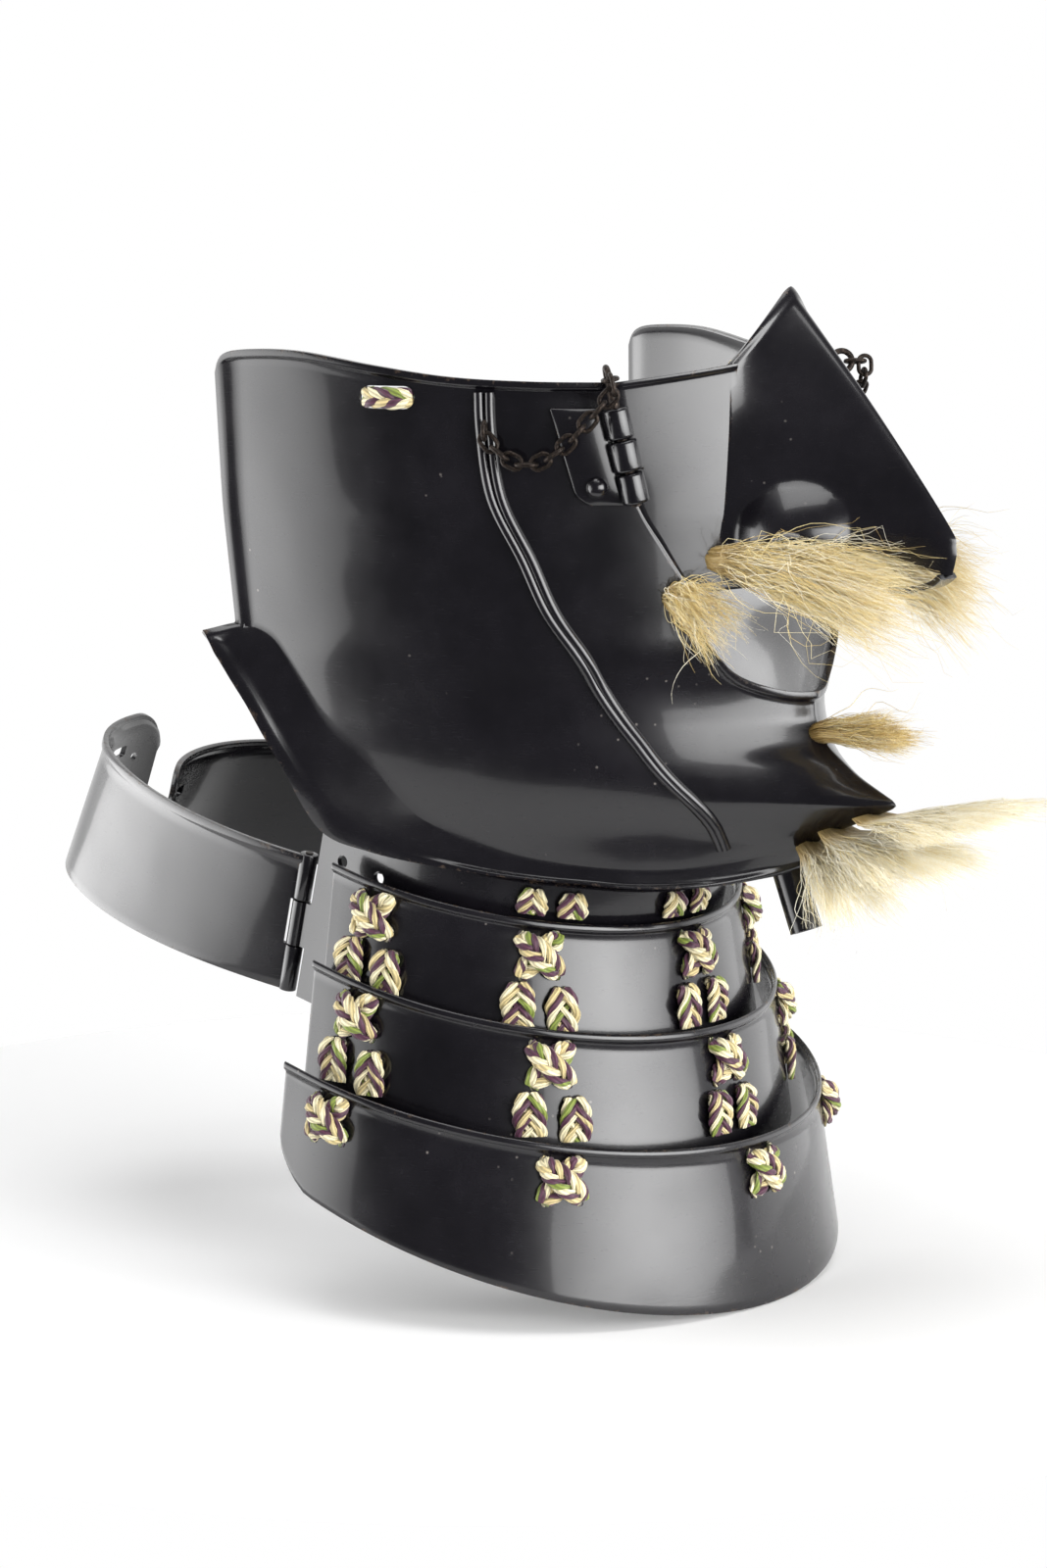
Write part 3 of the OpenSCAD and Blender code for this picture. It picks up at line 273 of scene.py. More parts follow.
# %% [markdown]
# ## Plaited silk
# The braid is plaited from dyed silk strands: cream, dark purple and olive green. Each strand is a
# bundle of fine yarns, so it shows slanting lines about 0.5 mm apart and a soft sheen; the grooves
# between the yarns are also darkened in the colour, which is painted shade. Each carries its dye and
# its twist as attributes of the mesh.

# %% Silk braid
silk_braid, tree, shader = finish("plaited_dyed_silk")
where = object_place(tree)
hues = ramp(tree, carried(tree, "dye"), [(0.0, "#ebe0b8"), (0.4, "#cfbc86"), (0.6, "#4b1b37"), (0.85, "#7f8e36")],
            "CONSTANT")
yarns = remap(tree, maths(tree, "SINE", carried(tree, "twist")), -1.0, 1.0)
fuzz = noise(tree, where, 2600.0, 3.0)
# The colour is darkened in the grooves between the yarns: painted shade. The fuzz adds a real spread of tone.
yarn_tone_and_painted_shade = maths(tree, "MULTIPLY_ADD", fuzz, 0.35, remap(tree, yarns, 0.0, 1.0, 0.55, 1.05))
yarn_tone_and_painted_shade = maths(tree, "SUBTRACT", yarn_tone_and_painted_shade, 0.17)
tree.links.new(mixed(tree, 1.0, hues, yarn_tone_and_painted_shade, "MULTIPLY"), shader.inputs["Base Color"])
shader.inputs["Roughness"].default_value = 0.55
shader.inputs["Sheen Weight"].default_value = 0.25
bumps(tree, shader, yarns, 0.7, 0.0002)

# %% [markdown]
# ## Bleached horsehair
# Horsehair from a mane is 0.1 to 0.2 mm thick, smooth and shiny, and curls a little. Bleached, it is
# straw to cream, and browner at the root. No two hairs have quite the same tone, so each has its own.

# %% Horsehair
horsehair, tree, shader = finish("bleached_horsehair")
tone = carried(tree, "tone")
straw = ramp(tree, tone, [(0.0, "#b8935a"), (0.3, "#dcc079"), (0.65, "#eedca2"), (1.0, "#fdf8e6")])
root = ramp(tree, tone, [(0.0, "#9c7638"), (1.0, "#d9bd7c")])
grown = remap(tree, carried(tree, "along"), 0.0, 0.3)
tree.links.new(mixed(tree, grown, root, straw), shader.inputs["Base Color"])
shader.inputs["Roughness"].default_value = 0.38
shader.inputs["Specular IOR Level"].default_value = 0.6

FINISH = {"black_lacquer": black_lacquer, "bare_iron": patinated_iron, "silk_braid": silk_braid,
          "horsehair": horsehair}
for name, made in frame["nodes"].items():
    slot = next(p["material_slot"] for p in frame["record"]["subparts"] if p["node"] == name)
    made.data.materials.clear()
    made.data.materials.append(FINISH[slot])
print("finishes given to", len(frame["nodes"]), "CAD nodes")

# %% [markdown]
# ## The law of the face
# The mask is one sheet beaten over a form, so one law gives its surface: a width and a depth for each
# height, and how blunt the plan is in front. The outlines are then drawn on that surface by an angle
# round the face and a height. The sizes are in millimetres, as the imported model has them.

# %% Face law
PLATE_T, LIP_TURN, LIP_W = 1.6, 1.1, 2.4
WIDTH = [(-75, 50), (-60, 51), (-48, 54), (-36, 60), (-20, 66), (0, 70), (30, 73), (64, 74), (90, 75)]
CHEEK = [(-75, 88), (-60, 97), (-48, 104), (-36, 110), (-28, 113), (-22, 112), (-16, 110.5),
         (-8, 110.5), (0, 114), (30, 112), (64, 108), (90, 106)]
MIDLINE = [(-75, 94), (-62, 100), (-51, 106), (-47, 109), (-42.5, 113.5), (-39, 122), (-33.4, 134.5),
           (-28, 123), (-22, 114.5), (-16, 111), (-8, 110.5), (0, 114), (30, 112), (64, 108), (90, 106)]
BLUNT = [(-75, 1.7), (-60, 1.65), (-48, 1.5), (-40, 1.3), (5, 1.25), (25, 1.3), (45, 1.35), (90, 1.35)]
CHIN_SPREAD, FRONT_POWER = 21, 2/2.2


def lookup(table, z):
    return float(np.interp(z, *zip(*table)))


def eased(table, z, d):
    return (lookup(table, z - d) + 2*lookup(table, z) + lookup(table, z + d))/4


def bent(x, power):
    """A power that keeps the sign."""
    return math.copysign(abs(x)**power, x)


def face(th, z):
    """A point of the face's outer surface; th is 0 at the nose and 90 at the wearer's right ear."""
    cheek = eased(CHEEK, z, 3)
    depth = cheek + (eased(MIDLINE, z, 1) - cheek)*math.exp(-(th/CHIN_SPREAD)**2)
    return np.array([-eased(WIDTH, z, 3)*bent(sin_d(th), 2/eased(BLUNT, z, 3)),
                     -depth*bent(cos_d(th), FRONT_POWER), z])


def unit(v):
    return v/np.linalg.norm(v)


def face_n(th, z):
    return unit(np.cross(face(th - 1, z) - face(th + 1, z), face(th, z + 1) - face(th, z - 1)))


def level_n(th, z):
    return unit(face_n(th, z)*[1, 1, 0])


def spline(points, t):
    """A smooth curve through points; t counts the points."""
    n = len(points) - 1
    i = min(int(max(t, 0)), n - 1)
    f = t - i
    a, b, c, d = (np.array(points[k], float) for k in (max(i - 1, 0), i, i + 1, min(i + 2, n)))
    return 0.5*(2*b + (c - a)*f + (2*a - 5*b + 4*c - d)*f*f + (3*b - a - 3*c + d)*f**3)


def smooth_step(t):
    t = min(1.0, max(0.0, t))
    return t*t*(3 - 2*t)


def corner_arc(r, d):
    """How far a rounded corner of a given radius stands back at a distance from the end."""
    return r - math.sqrt(max(0, r*r - (r - d)**2)) if d < r else 0


def mirrored_rows(half):
    """Rows from the wearer's right to the middle, carried on to the left."""
    return half + [[p*MIRROR for p in row] for row in reversed(half[:-1])]


def sided(rows, side):
    """Rows of the wearer's right side as they are, or mirrored for the left one."""
    return rows if side > 0 else [[p*MIRROR for p in reversed(row)] for row in rows]

# %% [markdown]
# ## From a grid to a plate
# A sheet of metal is made from a flat grid primitive. Its corners are moved on to the law of the
# surface, its edges are lifted along the normals for the turned lip, Solidify gives it the thickness
# of the plate, and a small bevel takes the sharpness off the edges, as a file would.

# %% Sheet tools
def deselect():
    bpy.ops.object.select_all(action="DESELECT")


def select_only(piece):
    deselect()
    piece.select_set(True)
    bpy.context.view_layer.objects.active = piece


def apply_all(piece):
    select_only(piece)
    for modifier in list(piece.modifiers):
        bpy.ops.object.modifier_apply(modifier=modifier.name)


def file_edges(piece, width):
    soft = piece.modifiers.new("filed edges", "BEVEL")
    soft.width, soft.segments, soft.angle_limit = width*MM, 2, math.radians(60)


def lacquer(piece, angle=50):
    """Smooth the shading up to an angle, and give the black finish."""
    bpy.ops.object.shade_smooth_by_angle(angle=math.radians(angle))
    piece.data.materials.append(black_lacquer)
    return piece


def settle():
    bpy.ops.object.transform_apply(location=True, rotation=True, scale=True)


def bar(centre, turn, radius, length, vertices=40):
    """A round bar, turned by Euler angles."""
    bpy.ops.mesh.primitive_cylinder_add(vertices=vertices, radius=radius*MM, depth=length*MM,
                                        location=tuple(centre*MM), rotation=turn)
    return bpy.context.object


def normals_of(grid):
    """Outward normals of rows that run down and columns that run from the wearer's right to left."""
    n = np.cross(np.gradient(grid, axis=0), np.gradient(grid, axis=1))
    return n/np.linalg.norm(n, axis=2, keepdims=True)


def run_lengths(points):
    """Lengths from the first point to each one; a grid is run down its columns."""
    steps = np.linalg.norm(np.diff(points, axis=0), axis=-1)
    return np.concatenate([0*steps[:1], np.cumsum(steps, axis=0)])


def sheet(name, grid, lift=None, thickness=PLATE_T, bevel=0.3, worn=5.0):
    """A plate from rows of points in mm; lift raises each point along its normal."""
    grid = np.array(grid, float)
    if lift is not None:
        grid = grid + normals_of(grid)*np.array(lift, float)[..., None]
    rows, cols = grid.shape[:2]
    bpy.ops.mesh.primitive_grid_add(x_subdivisions=cols - 1, y_subdivisions=rows - 1, size=1)
    plate = bpy.context.object
    plate.name = name
    wear = plate.data.attributes.new("edge", "FLOAT", "POINT")
    from_top, from_side = run_lengths(grid), run_lengths(grid.transpose(1, 0, 2)).T
    for v in plate.data.vertices:
        c, r = round((v.co.x + 0.5)*(cols - 1)), round((0.5 - v.co.y)*(rows - 1))
        near = min(from_top[r, c], from_top[-1, c] - from_top[r, c],
                   from_side[r, c], from_side[r, -1] - from_side[r, c])
        wear.data[v.index].value = max(0.0, 1 - near/worn)
        v.co = grid[r, c]*MM
    plate.modifiers.new("thickness", "SOLIDIFY").thickness = thickness*MM
    plate.modifiers["thickness"].offset = -1
    file_edges(plate, bevel)
    apply_all(plate)
    return lacquer(plate)


def drawn(name, points, faces, **numbers):
    """An object from points in metres and faces; each further argument is a number its points carry."""
    mesh = bpy.data.meshes.new(name)
    mesh.from_pydata(points, [], faces)
    for key, values in numbers.items():
        mesh.attributes.new(key, "FLOAT", "POINT").data.foreach_set("value", values)
    made = bpy.data.objects.new(name, mesh)
    bpy.context.collection.objects.link(made)
    select_only(made)
    return made


def tube_faces(start, steps, sides):
    """Faces of a closed tube whose points come ring by ring from a start."""
    faces = []
    for k in range(start, start + steps*sides, sides):
        faces += [(k + j, k + (j + 1) % sides, k + (j + 1) % sides + sides, k + j + sides) for j in range(sides)]
    end = start + steps*sides
    return faces + [tuple(range(start, start + sides))[::-1], tuple(range(end, end + sides))]


def turn_faces_out(piece):
    select_only(piece)
    bpy.ops.object.mode_set(mode="EDIT")
    bpy.ops.mesh.select_all(action="SELECT")
    bpy.ops.mesh.normals_make_consistent(inside=False)
    bpy.ops.object.mode_set(mode="OBJECT")


def subtract(piece, cutter):
    """Cut one object out of another and delete it."""
    hole = piece.modifiers.new("hole", "BOOLEAN")
    hole.object, hole.solver = cutter, "EXACT"
    select_only(piece)
    bpy.ops.object.modifier_apply(modifier="hole")
    bpy.data.objects.remove(cutter)


def join(name, pieces):
    deselect()
    for piece in pieces:
        piece.select_set(True)
    bpy.context.view_layer.objects.active = pieces[0]
    bpy.ops.object.join()
    made = bpy.context.object
    made.name = name
    return made

# %% [markdown]
# ## The cheek and chin plate
# One plate goes from the rear edge of one cheek round the mouth and chin to the other. Its upper edge
# and the lower lip are turned outward, and under the jaw the plate bends out into a flange along a
# crease. The outline is a few listed points for each line.

# %% Outlines of the plate
BROW = 60
UPPER_EDGE = [(90.3, BROW), (89.5, BROW + 4), (86.5, BROW + 5.4), (79.6, BROW + 5.4), (70.4, BROW + 2.8),
              (61, BROW + 0.5), (51, BROW - 0.4), (40.7, BROW - 0.6)]
FRONT_EDGE = [(40.7, BROW - 0.6), (39.7, 44.2), (39, 33), (36.2, 23.2), (33.2, 14.5), (31.9, 8), (30.4, 2),
              (24.7, -5.4), (13.6, -9.4), (0, -10)]
CREASE = [(89.6, 2.5), (88.8, 2.6), (87.2, 2.5), (85.1, -0.2), (82.9, -7.8), (80, -18), (75.4, -27.4),
          (70.8, -37.8), (66.4, -42.6), (58.7, -47.7), (51.7, -49.8), (44, -50.8), (37.8, -51),
          (30.5, -50.5), (22, -48.5), (11, -45.6), (0, -43)]
RIM = [(91.3, 1.5, 7), (90.7, -0.5, 7), (90, -4, 7), (88.8, -9, 7), (87.1, -16.5, 6.5), (84.9, -29.3, 6),
       (82.3, -43.5, 5.5), (76.7, -47.7, 4.5), (70, -49.8, 3.5), (60.6, -51.7, 2.5), (52.3, -52.7, 2),
       (45, -53.3, 1.8), (38.3, -54, 1.5), (30.5, -54, 1.2), (21.8, -53.4, 0.8), (11, -51.6, 0.4), (0, -50, 0)]
CORNER, MOUTH, MIDDLE = len(UPPER_EDGE) - 1, len(UPPER_EDGE) + 4, len(RIM) - 1


def upper(u):
    return spline(UPPER_EDGE, u) if u <= CORNER else spline(FRONT_EDGE, u - CORNER)


def rim(u):
    th, z, out = spline(RIM, u)
    return face(th, z) + level_n(th, z)*out

# %% Cheek and chin plate
LIP_STEPS = [(0, 1), (0.25, 1), (0.5, 1), (0.66, 0.9), (0.78, 0.5), (0.9, 0.12), (1, 0)]
SKIRT_STEPS = [(0.04, 0), (0.12, 0), (0.3, 0), (0.5, 0), (0.66, 0), (0.74, 0.2), (0.8, 0.6), (0.86, 0.8),
               (0.93, 0.8), (1, 0.8)]
FACE_STEPS, COLUMNS = 44, 92


def plate_column(u):
    """Points and lifts down one column of the plate."""
    a, b = upper(u), spline(CREASE, u)
    top = min(LIP_W/np.linalg.norm(face(*a) - face(*b)), 0.3)
    # The lip is turned on the cheek and at the mouth, and not where the nose plate lies
    turned = 1 if u <= CORNER else 0 if u < MOUTH else min(1, (u - MOUTH)/2)
    rear = 1 - smooth_step(u - 0.7)
    shares = [(top*s, turned*k) for s, k in LIP_STEPS]
    for k in range(1, FACE_STEPS + 1):
        t = k/FACE_STEPS
        t += 0.1*math.sin(2*math.pi*t)/(2*math.pi)
        shares.append((top + (1 - top)*t, 0))
    points = [face(*(a + (b - a)*s)) for s, _ in shares]
    crease, low = points[-1], rim(u)
    points += [crease + (low - crease)*s for s, _ in SKIRT_STEPS]
    return points, [LIP_TURN*max(k, rear) for _, k in shares + SKIRT_STEPS]


columns = [plate_column(MIDDLE*(k/COLUMNS)) for k in range(COLUMNS + 1)]
points = np.array(mirrored_rows([c[0] for c in columns]))
lifts = np.array([c[1] for c in columns + columns[-2::-1]])
mask_plate = sheet("cheek_and_chin_plate", points.transpose(1, 0, 2), lifts.T)
print("plate:", len(mask_plate.data.polygons), "faces")

# %% [markdown]
# The floor under the jaw closes the gap between the flange and the collar of the neck ring. It is a
# narrow flat strip, so it is a grid with three rows.

# %% Floor under the jaw
TILT = math.radians(12.8)
RING_Y, COLLAR_R, FLOOR_Z, FLOOR_T, FLOOR_START = -36, 50.5, -37, 1.4, 6.5


def from_ring(p, tilt=TILT):
    """A point of the level ring on the leaning one; with -TILT it goes back."""
    s, c = math.sin(tilt), math.cos(tilt)
    return np.array([p[0], p[1]*c - p[2]*s, p[1]*s + p[2]*c])


def floor_row(u):
    """Three points from the flange in to the collar."""
    th, z, out = spline(RIM, u)
    outline = face(th, z + FLOOR_T/2) + level_n(th, z)*(out - PLATE_T/2)
    x, y, _ = from_ring(outline, -TILT)
    # The collar is round in front of the ring's middle and straight behind it
    d = unit(np.array([x, min(0, y - RING_Y)]))*(COLLAR_R + 0.3)
    seat = from_ring([d[0], y if y > RING_Y else RING_Y + d[1], FLOOR_Z])
    return [outline, (outline + seat)/2, seat]


rows = mirrored_rows([floor_row(FLOOR_START + (MIDDLE - FLOOR_START)*k/50) for k in range(51)])
jaw_floor = sheet("jaw_floor", np.array(rows).transpose(1, 0, 2) - UP*FLOOR_T/2, thickness=FLOOR_T, bevel=0.1)

# %% [markdown]
# Two raised lines run down each cheek and close up towards the chin. On the real mask they are beaten
# up from behind. Here each is a round line half sunk in the plate, made as a curve with a bevel.

# %% Raised lines
RIB_R, RIB_GAP, RIB_STEPS, FACE_R = 1.15, 2.6, 60, 114
RIB = [(56.9, BROW - 2.8), (57, 48.5), (56.4, 34.3), (53.5, 21), (50.8, 7.7), (45.9, -5), (40.9, -18.3),
       (36.4, -29.4), (24.6, -44.9)]


def round_line(name, points):
    """A closed round line through points, as a curve turned into a mesh."""
    curve = bpy.data.curves.new(name, "CURVE")
    curve.dimensions = "3D"
    curve.bevel_depth = MM
    curve.bevel_resolution = 5
    curve.use_fill_caps = True
    line = curve.splines.new("POLY")
    line.points.add(len(points) - 1)
    for spot, p in zip(line.points, points):
        spot.co = (*(p*MM), 1)
        spot.radius = RIB_R
    made = bpy.data.objects.new(name, curve)
    bpy.context.collection.objects.link(made)
    select_only(made)
    bpy.ops.object.convert(target="MESH")
    bpy.ops.object.shade_smooth()
    made.data.materials.append(black_lacquer)
    return made


ribs = []
for side in (-1, 1):
    for line in (-1, 1):
        path = []
        for k in range(RIB_STEPS + 1):
            share = k/RIB_STEPS
            th, z = spline(RIB, share*(len(RIB) - 1))
            # The pair closes up and sinks into the plate towards the chin
            th += line*RIB_GAP*(1 - 0.3*share)/2/FACE_R*DEG
            path.append((face(th, z) + face_n(th, z)*RIB_R*(0.45 - 0.3*share))*[side, 1, 1])
        ribs.append(round_line(f"cheek_line_{side}_{line}", path))
mask_plate = join("cheek_and_chin_plate", [mask_plate, jaw_floor] + ribs)

# %% [markdown]
# A slot near each upper rear corner takes the tying cord. It is cut with a rounded bar and a Boolean
# modifier.

# %% Cut the cord slots
def on_face(th, z, side):
    """Origin and axes of a small frame on the cheek: back along the plate, out of it, and up."""
    n, flip = level_n(th, z), [side, 1, 1]
    turn = math.atan2(n[1], n[0])
    return face(th, z)*flip, level_way(turn - math.pi/2)*flip, level_way(turn)*flip, UP


def cut(piece, points, depth_axis, depth):
    """Cut a prism with the outline given by points right through a piece."""
    ends = [tuple((p + depth_axis*depth*half)*MM) for half in (-0.5, 0.5) for p in points]
    cutter = drawn("cutter", ends, tube_faces(0, 1, len(points)))
    turn_faces_out(cutter)
    subtract(piece, cutter)


SLOT_TH, SLOT_Z, SLOT_L, SLOT_H = 68.9, 55.8, 13, 5
for side in (-1, 1):
    p, x, y, z = on_face(SLOT_TH, SLOT_Z, side)
    outline = [p + x*end*((SLOT_L - SLOT_H)/2 + SLOT_H/2*cos_d(a)) + z*end*SLOT_H/2*sin_d(a)
               for end in (1, -1) for a in range(-90, 91, 15)]
    cut(mask_plate, outline, y, 12)
mask_plate.data.validate()
select_only(mask_plate)
bpy.ops.object.shade_smooth_by_angle(angle=math.radians(50))
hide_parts("mask_plate")
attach(mask_plate, "mask")
print("mask plate:", len(mask_plate.data.polygons), "faces")

# %% [markdown]
# ## The nose plate
# The nose plate carries the ridge of the nose, its wings, a flap on each cheek and a band over the
# upper lip. The ridge is drawn as a side that runs from a crease on the cheek to the middle line, with
# a bulge for the wing and a lower edge that rises over the nostril.

# %% Nose outlines
CHEEK_DEPTH, NOSE_DEPTH, NOSE_Z, BRIDGE_Z, NOSE_LIP = 112, 148, 24.5, 79, 0.6
NOSE_SEAM = [(40.7, BROW - 0.6), (39.7, 44.2), (39.1, 33), (36.1, 23.2), (33, 14.4)]
NOSE_CREASE = [(22.8, BROW + 3.2), (23.8, 48), (25.7, 33), (27.2, 26.5), (29.2, 13.4)]
RIDGE = [(0, -CHEEK_DEPTH + 9.3, BRIDGE_Z), (0, -CHEEK_DEPTH - 13, BRIDGE_Z - 24.3),
         (0, -NOSE_DEPTH + 3, NOSE_Z + 6), (0, -NOSE_DEPTH, NOSE_Z), (0, -NOSE_DEPTH + 1, NOSE_Z - 6.2)]
WALL = [(22.8, BROW + 3.2), (24.2, 47.4), (26.2, 32.2), (27, 28.2), (27.6, 24.6)]
NOSTRIL = [(0, 0), (0.09, -0.6), (0.18, 1.5), (0.26, 3.4), (0.35, 4.2), (0.44, 3.7), (0.53, 2.4),
           (0.66, 2.6), (0.79, 1.9), (0.9, 0.6), (1, 0)]
WING_AT, WING_REACH, WING_OUT, RIDGE_ROUND = (-CHEEK_DEPTH - 3.5, NOSE_Z + 2), 11.5, 5.5, 1.1


def nose_side(s, v):
    th, z = spline(WALL, 4*v)
    p = face(th, z)*(1 - s) + spline(RIDGE, 4*v)*s
    p = p + UP*eased(NOSTRIL, s, 0.03)*v**5
    d = math.hypot(p[1] - WING_AT[0], p[2] - WING_AT[1])/WING_REACH
    wing = WING_OUT*(1 - d*d)**0.9 if d < 1 else 0
    out = wing*smooth_step(s/0.1) + RIDGE_ROUND*s*s*(1 - math.exp(-(1 - s)/0.025))
    return p + [-0.88*out, -0.47*out*(1 - s), 0]


# The lifted edge of the nose plate, as places down the plate and shares of NOSE_LIP
EDGE_ROWS = [0, 0.012, 0.022, 0.03, 0.038, 0.048]
EDGE_LIFT = [1, 1, 0.9, 0.5, 0.1, 0]


def down_rows(count, power=1):
    """Places down the nose plate: those of its lifted edge, and then as many as are asked for."""
    end = EDGE_ROWS[-1]
    return EDGE_ROWS + [end + (1 - end)*(k/count)**power for k in range(1, count + 1)]


def edge_lift(rows, cols):
    return [[NOSE_LIP*k]*cols for k in EDGE_LIFT + [0]*(rows - len(EDGE_LIFT))]

# %% Nose ridge and wings
half = [[nose_side(1 - (1 - k/56)**1.25, v) for v in down_rows(60, 0.9)] for k in range(57)]
grid = np.array(mirrored_rows(half)).transpose(1, 0, 2)
nose_ridge = sheet("nose_ridge", grid, edge_lift(*grid.shape[:2]), thickness=1.3)

# %% Nose flaps
SEAM_GAP, CREASE_LAP = 0.5/CHEEK_DEPTH*DEG, 1.2


def flap_point(u, v):
    a, b = spline(NOSE_SEAM, 4*v) - [SEAM_GAP, 0], spline(NOSE_CREASE, 4*v) - [CREASE_LAP, 0]
    return face(*(a + (b - a)*u))


rows = [[flap_point(c/16, v) for c in range(17)] for v in down_rows(40)]
flaps = [sheet(f"nose_flap_{side}", sided(rows, side), edge_lift(len(rows), 17)) for side in (1, -1)]

# %% Lip band and the strip between the nostrils
LIP_TH, LIP_TOP, LIP_LOW = 29.2, (23.6, 1.2), (13.6, 1.6)


def lip_point(u, v):
    """A point of the lip band; its edges rise towards the middle."""
    th = LIP_TH*(1 - 2*u)
    top, low = (z + rise*cos_d(3*th) for z, rise in (LIP_TOP, LIP_LOW))
    return face(th, top + (low - top)*v)


lip_band = sheet("lip_band", [[lip_point(k/60, r/12) for k in range(61)] for r in range(13)])
STRIP = [(0, -NOSE_DEPTH + 2.6, NOSE_Z - 4.8), (0, -NOSE_DEPTH + 6, NOSE_Z - 7),
         (0, -NOSE_DEPTH + 14, NOSE_Z - 8.6), (0, -NOSE_DEPTH + 22, NOSE_Z - 7.4),
         (0, -CHEEK_DEPTH - 4, NOSE_Z - 4.4), (0, -CHEEK_DEPTH + 0.8, NOSE_Z - 3)]
strip_rows = []
for k in range(41):
    wide = 2.5 + 0.75*abs(k/40 - 0.5)*2
    strip_rows.append([spline(STRIP, k/8) + [wide*c/6, 0, -0.8] for c in range(-6, 7)])
nostril_strip = sheet("nostril_strip", strip_rows[::-1], thickness=1.4, worn=2)
nose_plate = join("nose_plate_dressed", [nose_ridge] + flaps + [lip_band, nostril_strip])
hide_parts("nose_plate")
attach(nose_plate, "mask")
print("nose plate:", len(nose_plate.data.polygons), "faces")

# %% [markdown]
# ## The neck bands
# Each band is hinged to the collar and closes behind the neck. It starts as a slack arc and turns in
# tightly towards the nape, its lower edge flares, and its free corners are rounded.

# %% Neck bands
HINGE = np.array([COLLAR_R - 0.65, -14.8, 0])
BAND_TOP, BAND_H, BAND_T, BAND_START, BAND_FLARE, BAND_LIP, CORNER_R = -50.5, 33.5, 1.3, 0.9, 5.5, 0.7, 9
NECK_L, NECK_KNUCKLE_R, NECK_GAP, PROUD = BAND_H/3, 2.1, 0.4, 0.2
# The plan is an arc of SLACK_R from START_A to BEND_A and one of NAPE_R from there to NAPE_END
SLACK_C, SLACK_R, NAPE_R, START_A, BEND_A, NAPE_END = np.array([31.9, 13.7, 0]), 88, 38, 199.3, 148.3, 84
SLACK_L = (START_A - BEND_A)*SLACK_R/DEG
NAPE_C = SLACK_C + (SLACK_R - NAPE_R)*level_way(math.radians(BEND_A))
TONGUE, LEFT_SWING = 12, math.radians(28.5)
BAND_ROWS = [(0, 1), (0.03, 1), (0.05, 0.9), (0.065, 0.4), (0.08, 0)] + [(0.08 + 0.92*j/14, 0) for j in range(1, 15)]


def band_place(l):
    """Point of the band's plan at a length from the hinge, and the outward direction there."""
    slack = l < SLACK_L
    d = level_way(math.radians(START_A - l/SLACK_R*DEG if slack else BEND_A - (l - SLACK_L)/NAPE_R*DEG))
    return (SLACK_C + SLACK_R*d if slack else NAPE_C + NAPE_R*d), d


def to_left(p):
    """A point of the right band mirrored and swung to where the left band closes."""
    x, y, z = p*MIRROR - HINGE
    c, s = math.cos(LEFT_SWING), math.sin(LEFT_SWING)
    return np.array([x*c - y*s, x*s + y*c, z]) + HINGE


def neck_band(name, total, side):
    ls = [BAND_START + (total - CORNER_R - BAND_START)*k/70 for k in range(71)]
    ls += [total - CORNER_R*(1 - sin_d(a)) - 0.01 for a in range(6, 91, 6)]
    rows = []
    for v, _ in BAND_ROWS:
        row = []
        for l in ls:
            taken = min(corner_arc(CORNER_R, total - l), BAND_H/2 - 0.5)
            drop = taken + v*(BAND_H - 2*taken)
            p, out = band_place(l)
            p = p + out*BAND_FLARE*smooth_step(l/SLACK_L)*drop/BAND_H + UP*(BAND_TOP - drop)
            row.append(from_ring(p if side > 0 else to_left(p)))
        # Columns run from the wearer's right to left as seen from outside the band
        rows.append(row[::-1] if side > 0 else row)
    return sheet(name, rows, [[BAND_LIP*k]*len(ls) for _, k in BAND_ROWS], thickness=BAND_T, bevel=0.25)


for name, extra, side in (("neck_band_right", 0, 1), ("neck_band_left", TONGUE, -1)):
    total = SLACK_L + (BEND_A - NAPE_END)/DEG*NAPE_R + extra
    band = neck_band(name + "_dressed", total, side)
    # A slot and a round hole near the end, for a tie
    for back, drop, wide, high, power in ((16, 9, 3.5, 1.5, 0.3), (8, 11.5, 1.2, 1.2, 1)):
        p, d = band_place(total - back)
        across = np.array([-d[1], d[0], 0])
        ring = [p + across*wide*bent(math.cos(a), power) + UP*(BAND_TOP - drop + high*bent(math.sin(a), power))
                for a in (2*math.pi*(k + 0.5)/20 for k in range(20))]
        if side < 0:
            ring, d = [to_left(q) for q in ring], to_left(d + HINGE*MIRROR) - HINGE
        cut(band, [from_ring(q) for q in ring], unit(from_ring(d)), 12)
    # The middle third is cut away round the collar's knuckle, and the two outer knuckles are added
    axis = HINGE*[-side, 1, 1]
    knuckles = []
    for low in (BAND_TOP - NECK_L + NECK_GAP/2, BAND_TOP - BAND_H - PROUD):
        a, b = (from_ring(axis + UP*z) for z in (low, low + NECK_L - NECK_GAP/2 + PROUD))
        knuckle = bar((a + b)/2, (TILT, 0, 0), NECK_KNUCKLE_R, np.linalg.norm(b - a))
        file_edges(knuckle, 0.25)
        apply_all(knuckle)
        settle()
        knuckles.append(lacquer(knuckle, 40))
    middle = axis + UP*(BAND_TOP - 1.5*NECK_L)
    cut(band, [from_ring(middle + 2.7*level_way(2*math.pi*k/32)) for k in range(32)], from_ring(UP), NECK_L)
    band = join(name + "_dressed", [band] + knuckles)
    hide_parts(name)
    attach(band, "band_right" if side > 0 else "band_left")
    print(name, len(band.data.polygons), "faces")

# %% [markdown]
# ## The throat lames
# A lame is a strip of iron bent into an upright cone that leans out below. Its rim is rolled outward
# for stiffness and lies in the leaning plane of the neck ring. The third one has a deeper skirt with
# rounded rear corners.

# %% Lame law
LAME_Y, LAME_END_Y = (-19, -21, -22), -16
LAME_RAD, PITCH, FLARE, LAME_H = (55.2, 62.0, 71.8), 22.2, 0.15, 31
SKIRT_H, SKIRT_REAR, SKIRT_CORNER, BEAD, BEAD_H = 39.5, 25.5, 9, 0.9, 2
SLOPE = math.tan(TILT)


def lame_top(i):
    return -52.8 - PITCH*i


